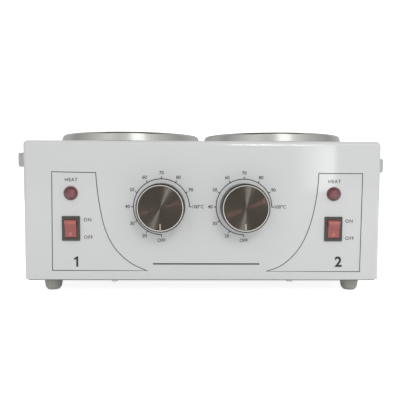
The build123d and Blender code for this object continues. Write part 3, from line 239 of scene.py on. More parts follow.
def dress(material, *nodes):
    """Gives CAD nodes a material."""
    for name in nodes:
        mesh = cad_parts[name].data
        mesh.materials.clear()
        mesh.materials.append(material)


def both(*names):
    """Node names of both sides."""
    return [f"{name}_{side}" for name in names for side in SIDES]


def piece_from(name, mesh, body, material):
    """Links a finished mesh as a visible piece that moves with a body."""
    mesh.materials.append(material)
    piece = bpy.data.objects.new(name, mesh)
    bpy.context.scene.collection.objects.link(piece)
    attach(piece, body)


# Print: the ink's thickness, a capital's height as a share of the font's size, and the least cosine
# of a mitre, which keeps the point of a sharp corner short.
INK_FILM = 0.04 * MM
CAPITAL_SHARE = 0.73
LEAST_MITRE = 0.35

# The large 1, in shares of its height from its middle: its stem's place and width, where the flag
# leaves the stem, where its tip ends, and the flag's width.
ONE_STEM = 0.1
ONE_STEM_WIDTH = 0.2
ONE_FLAG_TOP = 0.41
ONE_FLAG_TIP = (-0.2, 0.22)
ONE_FLAG_WIDTH = 0.17


class Print:
    """Flat print on a plane that faces the user: lines and letters gathered in one mesh."""

    def __init__(self, name, y, thickness=INK_FILM):
        self.name = name
        self.front = y - thickness
        self.form = bmesh.new()

    def line(self, points, width, closed=False):
        """A line of even width through (x, z) points, mitred at its corners."""
        points = [Vector(p) for p in points]
        count = len(points)
        corners = []
        for i, here in enumerate(points):
            steps = []
            if i or closed:
                steps.append((here - points[i - 1]).normalized())
            if i < count - 1 or closed:
                steps.append((points[(i + 1) % count] - here).normalized())
            normals = [Vector((-s.y, s.x)) for s in steps]
            mitre = sum(normals, Vector((0, 0))).normalized()
            reach = width / 2 / max(mitre.dot(normals[0]), LEAST_MITRE)
            pair = (here + mitre * reach, here - mitre * reach)
            corners.append([self.form.verts.new((p.x, self.front, p.y)) for p in pair])
        last = count if closed else count - 1
        for i in range(last):
            (a, b), (c, d) = corners[i], corners[(i + 1) % count]
            self.form.faces.new((a, b, d, c))

    def letters(self, text, x, z, height, bold=0.0, spacing=1.0):
        """Letters of a real height, their middle at (x, z)."""
        curve = bpy.data.curves.new("letters", "FONT")
        curve.body = text
        curve.size = height / CAPITAL_SHARE
        curve.align_x = "CENTER"
        curve.align_y = "CENTER"
        curve.offset = bold
        curve.space_character = spacing
        holder = bpy.data.objects.new("letters", curve)
        bpy.context.scene.collection.objects.link(holder)
        bpy.context.view_layer.update()
        drawn = holder.evaluated_get(bpy.context.evaluated_depsgraph_get())
        mesh = bpy.data.meshes.new_from_object(drawn)
        mesh.transform(Matrix(((1, 0, 0, x), (0, 0, -1, self.front), (0, 1, 0, z), (0, 0, 0, 1))))
        self.form.from_mesh(mesh)
        bpy.data.objects.remove(holder)
        bpy.data.curves.remove(curve)
        bpy.data.meshes.remove(mesh)

    def plain_one(self, x, z, height):
        """A large 1 in a plain shape: an upright stem with a short flag at its upper left."""
        stem = x + ONE_STEM * height
        self.line([(stem, z - height / 2), (stem, z + height / 2)], ONE_STEM_WIDTH * height)
        tip = (x + ONE_FLAG_TIP[0] * height, z + ONE_FLAG_TIP[1] * height)
        self.line([(stem, z + ONE_FLAG_TOP * height), tip], ONE_FLAG_WIDTH * height)

    def finish(self, body, slot, material):
        """Turns the print into a piece, with every face to the front."""
        bmesh.ops.recalc_face_normals(self.form, faces=self.form.faces[:])
        for face in self.form.faces:
            if face.normal.y > 0:
                face.normal_flip()
        mesh = bpy.data.meshes.new(self.name)
        self.form.to_mesh(mesh)
        self.form.free()
        piece_from(self.name, mesh, body, material)


def around(x, z, radius, angle):
    """A place at an angle round a point of the panel."""
    return x + radius * math.cos(angle), z + radius * math.sin(angle)


def smooth_run(points, steps=8):
    """Points along a smooth Catmull-Rom curve through the given ones."""
    spots = [Vector(p) for p in points]
    spots = [2 * spots[0] - spots[1]] + spots + [2 * spots[-1] - spots[-2]]
    run = []
    for a, b, c, d in zip(spots, spots[1:], spots[2:], spots[3:]):
        square = 2 * a - 5 * b + 4 * c - d
        cube = 3 * b - a - 3 * c + d
        for i in range(steps):
            t = i / steps
            run.append(0.5 * (2 * b + (c - a) * t + square * t**2 + cube * t**3))
    return run + [spots[-2]]


class WARMER_OT_casing(bpy.types.Operator):
    """Paints the casing and plates its sheet metal and screws"""

    bl_idname = "warmer.casing"
    bl_label = "Casing and base plate"

    def execute(self, context):
        colours = context.scene.warmer_finishes
        # Powder coat baked on folded steel: glossy over a soft white, with a faint orange peel. The
        # real peel is about 1 mm across. It is drawn at 1.5 mm, to just break up the reflections.
        paint, tree, shader = new_finish(
            "Powder coat on steel", colours.paint, Roughness=0.5, Specular_IOR_Level=0.1,
            Coat_Weight=1.0, Coat_Roughness=0.06,
        )
        grain(tree, shader, size_mm=1.5, depth_mm=0.008, strength=0.5)
        dress(paint, "housing")
        # Bright zinc on cold-rolled sheet: grey metal with a cloudy crystal pattern a few mm across,
        # which is duller in some places than in others.
        zinc, tree, shader = new_finish(
            "Zinc-plated sheet", linear("#A5A7A6"), Metallic=1.0, Roughness=0.42
        )
        noise = grain(tree, shader, size_mm=5.0, depth_mm=0.01, strength=0.4)
        spread = add_node(
            tree,
            "ShaderNodeMapRange",
            None,
            {"Value": noise.outputs["Fac"], "To Min": 0.34, "To Max": 0.52},
        )
        tree.links.new(spread.outputs["Result"], shader.inputs["Roughness"])
        dress(zinc, *both("thermostat_bracket", "bulb_clip"))
        # Base plate: dark grey and dull, which shows as a quiet dark line under the casing.
        dark_base, tree, shader = new_finish("Dark grey base plate", linear("#55575A"), Roughness=0.55)
        grain(tree, shader, size_mm=1.5, depth_mm=0.02, strength=0.4)
        dress(dark_base, "base_plate")
        # Zinc on turned and pressed screws and nuts: the same metal, a little brighter.
        screws, tree, shader = new_finish(
            "Zinc-plated screws", linear("#B4B4B0"), Metallic=1.0, Roughness=0.34
        )
        grain(tree, shader, size_mm=1.0, depth_mm=0.01, strength=0.3)
        dress(
            screws, "base_screws", "foot_fasteners", "handle_screws", "well_fasteners", "band_bolts",
            "thermostat_screws", "inlet_screws", "terminal_block_screws", "earth_fasteners",
            *both("lamp_nut", "thermostat_shaft"),
        )
        return {"FINISHED"}


class WARMER_OT_handles_feet(bpy.types.Operator):
    """Finishes the side handles and the rubber feet"""

    bl_idname = "warmer.handles_feet"
    bl_label = "Handles and feet"

    def execute(self, context):
        colours = context.scene.warmer_finishes
        # Injection-moulded ABS with a fine spark-eroded texture: matt, with soft highlights.
        plastic, tree, shader = new_finish("Textured ABS", colours.handle, Roughness=0.5)
        grain(tree, shader, size_mm=0.8, depth_mm=0.03, strength=0.5)
        dress(plastic, *both("handle"))
        # Moulded natural rubber: dull, with a dusty grey bloom in patches about 2 mm across.
        rubber, tree, shader = new_finish("Moulded rubber", colours.rubber, Roughness=0.72)
        bloom = grain(tree, shader, size_mm=2.0, depth_mm=0.05, strength=0.5)
        two_tone(tree, shader, bloom.outputs["Fac"], colours.rubber, linear("#B8BAB2"))
        dress(rubber, *both("foot_front", "foot_back"))
        return {"FINISHED"}


class WARMER_OT_pots(bpy.types.Operator):
    """Polishes the lift-out pots and finishes the wells that hold them"""

    bl_idname = "warmer.pots"
    bl_label = "Pots and wells"

    def execute(self, context):
        colours = context.scene.warmer_finishes
        for side in SIDES:
            # Spun aluminium, polished on the lathe: sharp streaks across fine lines round the pot.
            # Real lines are about 0.1 mm apart. They are drawn 0.7 mm apart, so that they show.
            spun, tree, shader = new_finish(
                f"Polished spun aluminium {side}", colours.pot, Metallic=1.0, Roughness=0.17
            )
            turned_lines(tree, shader, POT[side], ROUND_UPRIGHT, pitch_mm=0.7, depth_mm=0.004)
            dress(spun, f"wax_pot_{side}")
            # Drawn aluminium, left as pressed: satin, with draw lines about 1.5 mm apart.
            drawn, tree, shader = new_finish(
                f"Drawn aluminium {side}", linear("#B2B3B1"), Metallic=1.0, Roughness=0.4
            )
            turned_lines(tree, shader, POT[side], ROUND_UPRIGHT, pitch_mm=1.5, depth_mm=0.02)
            dress(drawn, f"well_{side}")
        return {"FINISHED"}


# A knob's pointer runs between two distances from the knob's axis. It lies a little behind the
# foremost edge of the disc.
POINTER_REACH = (12.8 * MM, 17.9 * MM)
POINTER_WIDTH = 0.9 * MM
POINTER_SINK = 0.25 * MM
ENAMEL_FILM = 0.1 * MM
# Faces of a knob's body whose middle is this near to its front are its flat ring round the disc.
RING_DEPTH = 0.15 * MM


class WARMER_OT_knobs(bpy.types.Operator):
    """Finishes the thermostat knobs and paints their pointers"""

    bl_idname = "warmer.knobs"
    bl_label = "Knobs"

    def execute(self, context):
        colours = context.scene.warmer_finishes
        # Gunmetal lacquer over moulded ABS: dark, with enough gloss for the ribs to catch light.
        skirt, tree, shader = new_finish(
            "Gunmetal lacquer on ABS", colours.skirt, Metallic=0.3, Roughness=0.4, Coat_Weight=0.2
        )
        grain(tree, shader, size_mm=1.0, depth_mm=0.01, strength=0.3)
        # Diamond-cut ring round the disc: bare bright metal, which reads as a thin light line.
        cut, tree, shader = new_finish(
            "Diamond-cut ring", linear("#AFADA8"), Metallic=1.0, Roughness=0.25
        )
        grain(tree, shader, size_mm=0.6, depth_mm=0.004, strength=0.3)
        # Enamel brushed into the pointer's groove: warm white and slightly dull.
        enamel, tree, shader = new_finish("Pointer enamel", linear("#C9C3B6"), Roughness=0.4)
        grain(tree, shader, size_mm=0.6, depth_mm=0.01, strength=0.3)
        for side in SIDES:
            centre = KNOB[side]
            # Spun and anodised aluminium disc: rings 0.08 mm apart spread the light into two
            # opposite fans. The rings are drawn 0.5 mm apart, so that they show.
            disc, tree, shader = new_finish(
                f"Dark anodised disc {side}", colours.disc, Metallic=1.0, Roughness=0.45,
                Anisotropic=1.0, Anisotropic_Rotation=0.25,
            )
            turned_lines(tree, shader, centre, ROUND_KNOB, pitch_mm=0.5, depth_mm=0.004)
            tangent = add_node(tree, "ShaderNodeTangent", {"direction_type": "RADIAL", "axis": "Y"})
            tree.links.new(tangent.outputs["Tangent"], shader.inputs["Tangent"])
            dress(disc, f"knob_cap_{side}")
            dress(skirt, f"knob_body_{side}")
            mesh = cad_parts[f"knob_body_{side}"].data
            mesh.materials.append(cut)
            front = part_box(f"knob_body_{side}")[0].y
            for face in mesh.polygons:
                if face.center.y < front + RING_DEPTH:
                    face.material_index = 1
            pointer = Print(f"pointer_{side}", CAP_FRONT + POINTER_SINK, ENAMEL_FILM)
            pointer.line([(centre.x, centre.z - reach) for reach in POINTER_REACH], POINTER_WIDTH)
            pointer.finish(f"knob_{side}", "knob_disc", enamel)
        return {"FINISHED"}


# The off mark on each rocker's lower face: a small ring, this far under the rocker's middle.
MARK_DROP = 4.6 * MM
MARK_RADIUS = 1.1 * MM
MARK_LINE = 0.35 * MM
MARK_POINTS = 24
# The rocker's raised end is painted a lighter red as painted light, from one height over its middle to
# full at another.
PAINTED_LIGHT_START = 3.4 * MM
PAINTED_LIGHT_FULL = 5.2 * MM
# Faces lower than this under a rocker's middle, and turned this squarely to the front, make up the
# lower face.
FACE_DROP = 2 * MM
FACE_SQUARE = 0.95


def lower_face(side):
    """Y of the flat lower face of a rocker, which stands nearly upright at rest."""
    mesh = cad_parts[f"switch_rocker_{side}"].data
    top = ROCKER[side].z - FACE_DROP
    faces = [f for f in mesh.polygons if f.center.z < top and f.normal.y < -FACE_SQUARE]
    return max(faces, key=lambda f: f.area).center.y


class WARMER_OT_switches_lamps(bpy.types.Operator):
    """Finishes the rocker switches and the pilot lamps"""

    bl_idname = "warmer.switches_lamps"
    bl_label = "Switches and lamps"

    def execute(self, context):
        colours = context.scene.warmer_finishes
        # Clear red acrylic dome over a diffuser: deep red, with painted shade that darkens it towards
        # its edge, under a clear face with a small highlight.
        lens, tree, shader = new_finish(
            "Red acrylic lens", colours.lens, Roughness=0.4, Coat_Weight=0.5, Coat_Roughness=0.08
        )
        grain(tree, shader, size_mm=2.0, depth_mm=0.01, strength=0.2)
        painted_edge_shade = add_node(tree, "ShaderNodeLayerWeight", None, {"Blend": 0.75})
        # Painted shade: the colour turns to a near black red where the dome turns away from the view.
        two_tone(tree, shader, painted_edge_shade.outputs["Facing"], colours.lens, linear("#33191B"))
        dress(lens, *both("lamp_lens"))
        # Translucent red polycarbonate rocker: light gets a little way in, so its edges glow. Its
        # raised end is painted a lighter red, as painted light on it.
        rocker, tree, shader = new_finish(
            "Red polycarbonate", colours.rocker, Roughness=0.32, Subsurface_Weight=0.3,
            Subsurface_Scale=2 * MM, Coat_Weight=0.3,
        )
        grain(tree, shader, size_mm=1.2, depth_mm=0.01, strength=0.3)
        # Painted light: a lighter red is blended in over the raised end, by its height.
        place = add_node(tree, "ShaderNodeTexCoord")
        height = add_node(tree, "ShaderNodeSeparateXYZ", None, {0: place.outputs["Object"]})
        level = ROCKER["left"].z
        rise = add_node(
            tree,
            "ShaderNodeMapRange",
            None,
            {
                "Value": height.outputs["Z"],
                "From Min": level + PAINTED_LIGHT_START,
                "From Max": level + PAINTED_LIGHT_FULL,
            },
        )
        two_tone(tree, shader, rise.outputs["Result"], colours.rocker, linear("#B36661"))
        dress(rocker, *both("switch_rocker"))
        # Glass-filled nylon: near black, with a dull moulded sheen.
        nylon, tree, shader = new_finish("Glass-filled nylon", colours.bezel, Roughness=0.45)
        grain(tree, shader, size_mm=0.8, depth_mm=0.02, strength=0.4)
        dress(nylon, *both("switch_body"))
        # Pad-printed ink on the rockers: a thin, warm and slightly dull film.
        marks, tree, shader = new_finish("Pad print on rocker", linear("#D9A37C"), Roughness=0.5)
        grain(tree, shader, size_mm=0.8, depth_mm=0.01, strength=0.3)
        for side in SIDES:
            x, z = ROCKER[side].x, ROCKER[side].z - MARK_DROP
            turns = [2 * math.pi / MARK_POINTS * i for i in range(MARK_POINTS)]
            mark = Print(f"rocker_mark_{side}", lower_face(side))
            mark.line([around(x, z, MARK_RADIUS, turn) for turn in turns], MARK_LINE, closed=True)
            mark.finish(f"rocker_{side}", "rocker_red", marks)
        return {"FINISHED"}


# A dial runs clockwise over this many degrees from straight down, and its ring is drawn in steps.
DIAL_LABELS = ["OFF", "20", "30", "40", "50", "60", "70", "80", "90", "100°C"]
DIAL_SWEEP = 270
RING_STEP = 3
TICK_STEP = DIAL_SWEEP / (len(DIAL_LABELS) - 1)
# A label of more than three characters stands this much farther right, clear of its tick.
LONG_LABEL = 3
LONG_LABEL_SHIFT = 2.1 * MM

# Printed frames on the panel, in millimetres from the casing's middle and from its lower edge.
# Each one starts at the top of its curved side and ends at the tip of that side.
FRAME_CURVE = {
    "left": [
        (-90.1, 90.7), (-88.8, 75.8), (-86.5, 60.0), (-83.3, 45.7), (-78.5, 33.6), (-72.5, 24.6),
        (-64.3, 16.6), (-56.8, 11.7), (-47.2, 7.6),
    ],
    "right": [
        (98.1, 90.7), (97.3, 78.6), (95.9, 67.3), (93.3, 54.1), (88.7, 39.4), (83.1, 28.2),
        (77.0, 20.3), (69.6, 13.7), (62.8, 9.9), (54.4, 7.1),
    ],
}
FRAME_CORNERS = {"left": [(-127.3, 7.7), (-126.8, 91.3)], "right": [(134.6, 6.9), (135.3, 90.7)]}
LEGENDS = {
    "left": [("HEAT", -110.7, 84.6), ("ON", -97.2, 50.8), ("OFF", -96.6, 36.0)],
    "right": [("HEAT", 111.5, 83.8), ("ON", 124.6, 50.2), ("OFF", 125.4, 35.5)],
}
SIDE_NUMBERS = {"left": (-107.2, 15.3), "right": (116.1, 14.9)}
RULE = ((-42.2, 13.4), (48.5, 13.4))

# How much each kind of letter is thickened all round, and how far the legends' letters stand apart.
DIAL_BOLD = 0.07 * MM
LEGEND_BOLD = 0.06 * MM
LEGEND_SPACING = 1.15
SIDE_NUMBER_BOLD = 0.4 * MM


def on_panel(x_mm, z_mm):
    """A place on the panel, from millimetres above the casing's lower edge."""
    return x_mm * MM, CASE_LOW + z_mm * MM


def dial_angle(degrees):
    """The angle of a place on a dial, counted clockwise from straight down."""
    return math.radians(-90 - degrees)


class WARMER_OT_panel_print(bpy.types.Operator):
    """Screen-prints the dials, frames and legends on the casing's front"""

    bl_idname = "warmer.panel_print"
    bl_label = "Panel print"

    def execute(self, context):
        sizes = context.scene.warmer_print
        # Screen-printed epoxy ink: a flat dark grey film on the paint.
        colour = context.scene.warmer_finishes.ink
        ink, tree, shader = new_finish("Screen-printed ink", colour, Roughness=0.6)
        grain(tree, shader, size_mm=0.6, depth_mm=0.005, strength=0.3)
        for side in SIDES:
            for draw in (self.draw_dial, self.draw_frame, self.draw_legends):
                draw(side, sizes).finish("casing", "painted_steel", ink)
        rule = Print("rule_print", PANEL_Y)
        rule.line([on_panel(*spot) for spot in RULE], sizes.rule_width)
        rule.finish("casing", "painted_steel", ink)
        return {"FINISHED"}

    def draw_dial(self, side, sizes):
        """The ring, ticks and numbers round a knob."""
        x, z = KNOB[side].x, KNOB[side].z
        dial = Print(f"dial_print_{side}", PANEL_Y)
        turns = [dial_angle(turn) for turn in range(0, DIAL_SWEEP + 1, RING_STEP)]
        dial.line([around(x, z, sizes.dial_radius, turn) for turn in turns], sizes.dial_line)
        tick = (sizes.dial_radius, sizes.dial_radius + sizes.tick)
        for i, label in enumerate(DIAL_LABELS):
            turn = dial_angle(TICK_STEP * i)
            dial.line([around(x, z, reach, turn) for reach in tick], sizes.dial_line)
            label_x, label_z = around(x, z, sizes.label_radius, turn)
            shift = LONG_LABEL_SHIFT if len(label) > LONG_LABEL else 0
            dial.letters(label, label_x + shift, label_z, sizes.number_height, bold=DIAL_BOLD)
        return dial

    def draw_frame(self, side, sizes):
        """The printed frame round a lamp and a switch, with one curved side."""
        outline = Print(f"frame_print_{side}", PANEL_Y)
        run = smooth_run([on_panel(*spot) for spot in FRAME_CURVE[side]])
        corners = [Vector(on_panel(*spot)) for spot in FRAME_CORNERS[side]]
        outline.line(run + corners, sizes.line, closed=True)
        return outline

    def draw_legends(self, side, sizes):
        """The words by a lamp and a switch, and the side's large number."""
        legends = Print(f"legend_print_{side}", PANEL_Y)
        for text, x, z in LEGENDS[side]:
            legends.letters(
                text, *on_panel(x, z), sizes.legend_height, bold=LEGEND_BOLD, spacing=LEGEND_SPACING
            )
        x, z = on_panel(*SIDE_NUMBERS[side])
        if side == "left":
            legends.plain_one(x, z, sizes.side_number_height)
        else:
            legends.letters("2", x, z, sizes.side_number_height, bold=SIDE_NUMBER_BOLD)
        return legends


# Finishes of the inside and the inlet: name, colour, metallic, roughness, grain in mm and nodes.
INSIDE_FINISHES = [
    # Moulded black nylon, with a dull sheen.
    ("Black nylon", "#1F1F1F", 0.0, 0.48, 0.8, ["inlet_body"]),
    # Nickel on pressed brass blades: warm and bright.
    ("Nickel-plated brass", "#C4BBA2", 1.0, 0.28, 0.6, ["inlet_pins", "switch_terminals"]),
    # Steel sheath of a mica heater, blued and dulled by heat.
    ("Heat-blued steel sheath", "#8B857E", 1.0, 0.45, 2.0, both("heater_band")),
    # Woven glass-fibre blanket, off-white and rough.
    ("Glass-fibre cloth", "#DAD6C8", 0.0, 0.9, 1.2, both("insulation")),
    # Drawn copper, dulled by handling.
    ("Drawn copper", "#A9704E", 1.0, 0.4, 0.8, both("capillary")),
    # Glazed steatite ceramic, smooth and pale.
    ("Glazed steatite", "#D7D1C1", 0.0, 0.25, 1.0, both("thermal_fuse")),
    # Pressed phenolic resin, cream and slightly dull.
    ("Phenolic moulding", "#CFC8B4", 0.0, 0.42, 1.0, both("thermostat_body") + ["terminal_block"]),
    # Moulded white polycarbonate, with a soft gloss.
    ("White polycarbonate", "#D8D8D2", 0.0, 0.4, 1.0, both("lamp_holder")),
    # Extruded silicone rubber in the usual mains colours: dull.
    ("Brown silicone", "#5C3A2B", 0.0, 0.55, 1.0, ["live_leads"]),
    ("Blue silicone", "#33538C", 0.0, 0.55, 1.0, ["neutral_leads"]),
    # Braided glass sleeve on the heaters' leads, white and rough.
    ("Braided glass sleeve", "#DCDCD6", 0.0, 0.85, 0.8, ["heater_leads"]),
]
# How deep, in mm, and how strong the grain of those finishes is.
INSIDE_GRAIN_DEPTH = 0.02
INSIDE_GRAIN_STRENGTH = 0.4
# Green and yellow of an earth lead, the distance between its yellow stripes, and the wave's level
# over which it is yellow. At scale 1, a diagonal wave turns 10 radians for each metre of x + y + z,
# and that sum grows by the root of 3 for each metre across the stripes.
EARTH_GREEN = linear("#3E7A34")
EARTH_YELLOW = linear("#D8C23C")
STRIPE_PITCH = 9.07 * MM
STRIPE_SCALE = 2 * math.pi / (10 * math.sqrt(3) * STRIPE_PITCH)
YELLOW_ABOVE = 0.6


class WARMER_OT_inside(bpy.types.Operator):
    """Finishes the heaters, thermostats, wiring and mains inlet"""

    bl_idname = "warmer.inside"
    bl_label = "Inside and inlet"

    def execute(self, context):
        for name, code, metallic, rough, size, nodes in INSIDE_FINISHES:
            material, tree, shader = new_finish(
                name, linear(code), Metallic=metallic, Roughness=rough
            )
            grain(tree, shader, size, INSIDE_GRAIN_DEPTH, INSIDE_GRAIN_STRENGTH)
            dress(material, *nodes)
        # Extruded PVC: green with yellow stripes about 4 mm wide, as every earth lead has.
        earth, tree, shader = new_finish("Green and yellow PVC", EARTH_GREEN, Roughness=0.5)
        place = add_node(tree, "ShaderNodeTexCoord")
        wave = add_node(
            tree,
            "ShaderNodeTexWave",
            {"wave_type": "BANDS", "bands_direction": "DIAGONAL"},
            {"Vector": place.outputs["Object"], "Scale": STRIPE_SCALE},
        )
        stripe = add_node(
            tree,
            "ShaderNodeMath",
            {"operation": "GREATER_THAN"},
            {0: wave.outputs["Fac"], 1: YELLOW_ABOVE},
        )
        two_tone(tree, shader, stripe.outputs[0], EARTH_GREEN, EARTH_YELLOW)
        dress(earth, "earth_lead")
        return {"FINISHED"}


def facing(place, target):
    """Matrix that puts an object at a place with its -Z axis towards a target."""
    direction = (Vector(target) - Vector(place)).normalized()
    return Matrix.Translation(place) @ direction.to_track_quat("-Z", "Y").to_matrix().to_4x4()


def add_lamp(name, place, target, width, height, power):
    """A rectangular lamp aimed at a target."""
    data = bpy.data.lights.new(name, "AREA")
    data.shape = "RECTANGLE"
    data.size = width
    data.size_y = height
    data.energy = power
    lamp = bpy.data.objects.new(name, data)
    bpy.context.scene.collection.objects.link(lamp)
    lamp.matrix_world = facing(place, target)
    # The lamps light matt surfaces. Reflections see the studio's wall and windows instead.
    lamp.visible_glossy = False
    return lamp


def fall_only_on(lamp, nodes):
    """Lets a lamp light some CAD nodes alone, as a snoot does, and lets them mirror it."""
    group = bpy.data.collections.new(lamp.name + "_receivers")
    for name in nodes:
        group.objects.link(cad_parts[name])
    lamp.light_linking.receiver_collection = group
    lamp.visible_glossy = True


# Where the lamps aim: the warmer's middle, a little lower, the row of knobs, and the right lens.
WARMER_MIDDLE = (0, 0, 0.08)
WARMER_LOW = (0, 0, 0.06)
KNOB_ROW = (0, -0.089, 0.075)
RIGHT_LENS = (0.1, -0.072, 0.085)

# Lamps for the whole warmer: name, place, target, width, height, setting and share of its power.
STUDIO_LAMPS = [
    ("key_lamp", (0.32, -1.1, 0.8), WARMER_MIDDLE, 0.35, 0.35, "key", 1.0),
    ("fill_lamp", (0.1, -1.4, 0.12), WARMER_LOW, 1.0, 0.3, "fill", 0.3),
    ("side_lamp", (1.35, -0.36, 0.4), WARMER_MIDDLE, 0.6, 0.6, "fill", 0.3),
    ("back_lamp", (0.5, 1.3, 0.9), WARMER_MIDDLE, 0.9, 0.9, "fill", 1.0),
]

# Lamps for some pieces alone, in the same order, and then the light's colour and the pieces. The
# knobs' discs show a cool fan of light from above and a faint warm one from the right.
COOL_LIGHT = linear("#EEF7FF")
WARM_LIGHT = linear("#FFBFC6")
WHITE_LIGHT = linear("#FFFFFF")
SNOOTED_LAMPS = [
    (
        ("knob_lamp", (0.234, -0.56, 0.80), KNOB_ROW, 0.17, 0.3, "knob_light", 1.0),
        COOL_LIGHT,
        both("knob_cap"),
    ),
    (
        ("warm_lamp", (0.385, -0.31, 0.165), KNOB_ROW, 0.07, 0.07, "knob_light", 0.09),
        WARM_LIGHT,
        both("knob_cap"),
    ),
    (
        ("lens_lamp", (0.75, -0.9, 0.75), RIGHT_LENS, 0.08, 0.08, "lens_light", 1.0),
        WHITE_LIGHT,
        both("lamp_lens", "switch_rocker"),
    ),
]

# Windows that the painted casing mirrors: name, place, width, height, and brightness at the left
# and at the right. One shines in the top bend, and one lays a faint band over the panel's right.
HIGHLIGHTS = [
    ("bend_window", (0.276, -1.24, 0.41), 0.31, 0.22, 20.0, 8.0),
    ("panel_band", (0.445, -1.424, 0.12), 0.14, 0.17, 0.3, 5.3),
]


def add_highlight(name, place, width, height, left, right):
    """A window that only the painted casing mirrors. Its brightness slopes from left to right."""
    # A lamp with pi watts for each square metre has a brightness of 1.
    window = add_lamp(name, place, WARMER_MIDDLE, width, height, math.pi * width * height)
    window.data.use_nodes = True
    tree = window.data.node_tree
    tree.nodes.clear()
    spot = add_node(tree, "ShaderNodeNewGeometry")
    split = add_node(tree, "ShaderNodeSeparateXYZ", None, {0: spot.outputs["Parametric"]})
    slope = add_node(
        tree, "ShaderNodeMapRange", None, {"Value": split.outputs["X"], "To Min": left, "To Max": right}
    )
    glow = add_node(tree, "ShaderNodeEmission", None, {"Strength": slope.outputs["Result"]})
    add_node(tree, "ShaderNodeOutputLight", None, {"Surface": glow.outputs[0]})
    fall_only_on(window, ["housing"])
    window.visible_diffuse = False


def glowing_piece(name, corners, faces, levels):
    """A glowing stage mesh that only reflections see, with a grey level at each corner."""
    mesh = bpy.data.meshes.new(name)
    mesh.from_pydata(corners, [], faces)
    shade = mesh.color_attributes.new("level", "FLOAT_COLOR", "POINT")
    for spot, level in zip(shade.data, levels):
        spot.color = (level, level, level, 1)
    material = bpy.data.materials.new(name)
    material.use_nodes = True
    tree = material.node_tree
    tree.nodes.clear()
    grey = add_node(tree, "ShaderNodeVertexColor", {"layer_name": "level"})
    glow = add_node(tree, "ShaderNodeEmission", None, {"Color": grey.outputs["Color"]})
    add_node(tree, "ShaderNodeOutputMaterial", None, {"Surface": glow.outputs[0]})
    mesh.materials.append(material)
    piece = bpy.data.objects.new(name, mesh)
    bpy.context.scene.collection.objects.link(piece)
    piece.visible_camera = False
    piece.visible_diffuse = False
    piece.visible_shadow = False
    piece.visible_transmission = False


# Grey levels of the studio wall that the pots reflect, by the angle round from behind the camera
# to the right: dim at the sides, with one bright window a little to the right.
WALL_LEVELS = [
    (-180, 0.45), (-150, 0.50), (-118, 0.60), (-98, 0.44), (-62, 0.72), (-44, 0.90), (-34, 0.93),
    (-18, 0.79), (-6, 0.83), (2, 1.00), (5, 1.35), (7, 1.70), (26, 1.75), (29, 1.30), (33, 1.05),
    (42, 0.92), (50, 0.82), (60, 0.70), (102, 0.46), (125, 0.60), (150, 0.60), (180, 0.45),
]
# The wall's distance, and how many times as much is added to it in front. Its upper edge, and its
# lower edge where it is open behind the camera, as a rise for each metre of distance.
WALL_RADIUS = 1.5
WALL_STRETCH = 2
WALL_TOP = 1.75
WALL_OPENING = 0.3
# Angles to either side of the camera where the opening starts to close, and where it is closed.
OPENING_FULL = 28
OPENING_END = 46
WALL_STEPS = 120


def level_at(degrees):
    """Grey level of the studio wall at an angle."""
    for (a, low), (b, high) in zip(WALL_LEVELS, WALL_LEVELS[1:]):
        if degrees <= b:
            return low + (high - low) * (degrees - a) / (b - a)
    return WALL_LEVELS[-1][1]


def add_wall():
    """The studio's wall, seen only in reflections. It stands farther off in front, and it is open
    low down behind the camera, where the flat panel would mirror it."""
    corners, levels = [], []
    for i in range(WALL_STEPS + 1):
        degrees = 360 * i / WALL_STEPS - 180
        side, front = math.sin(math.radians(degrees)), math.cos(math.radians(degrees))
        away = WALL_RADIUS * (1 + WALL_STRETCH * max(front, 0) ** 2)
        share = (OPENING_END - abs(degrees)) / (OPENING_END - OPENING_FULL)
        low = WALL_OPENING * min(max(share, 0), 1)
        corners += [(away * side, -away * front, away * rise) for rise in (low, WALL_TOP)]
        levels += 2 * [level_at(degrees)]
    faces = [(2 * i, 2 * i + 2, 2 * i + 3, 2 * i + 1) for i in range(WALL_STEPS)]
    glowing_piece("studio_wall", corners, faces, levels)


def add_ceiling(height=2.6, half=1.7, level=0.12):
    """A dim ceiling, seen only in reflections."""
    spots = [(-half, -half), (half, -half), (half, half), (-half, half)]
    corners = [(x, y, height) for x, y in spots]
    glowing_piece("studio_ceiling", corners, [(0, 1, 2, 3)], 4 * [level])


def rays_that_look(tree):
    """1 for what the camera sees, also mirrored or through something clear, and 0 for other light."""
    rays = add_node(tree, "ShaderNodeLightPath")
    look = rays.outputs["Is Camera Ray"]
    for kind in ("Is Glossy Ray", "Is Transmission Ray"):
        either = add_node(
            tree, "ShaderNodeMath", {"operation": "MAXIMUM"}, {0: look, 1: rays.outputs[kind]}
        )
        look = either.outputs[0]
    return look


# The paper floor: its front edge, where it bends up and how widely, its half width and its top.
FLOOR_FRONT = -3.0
FLOOR_BEND = 1.6
BEND_RADIUS = 0.6
BEND_STEPS = 12
FLOOR_HALF = 4.0
FLOOR_TOP = 3.0
# The paper's own grey, and the light that it adds where it is looked at.
PAPER_GREY = linear("#E7E7E7")
PAPER_GLOW = 0.86

# The camera's place and aim, found by fitting the casing's corners in the photograph.
CAMERA_PLACE = (-8.2 * MM, -470.8 * MM, 104.0 * MM)
CAMERA_YAW = math.radians(0.84)
CAMERA_PITCH = math.radians(-3.38)
CAMERA_ROLL = math.radians(0.23)
CAMERA_LENS = 42.55
SENSOR_WIDTH = 36.0


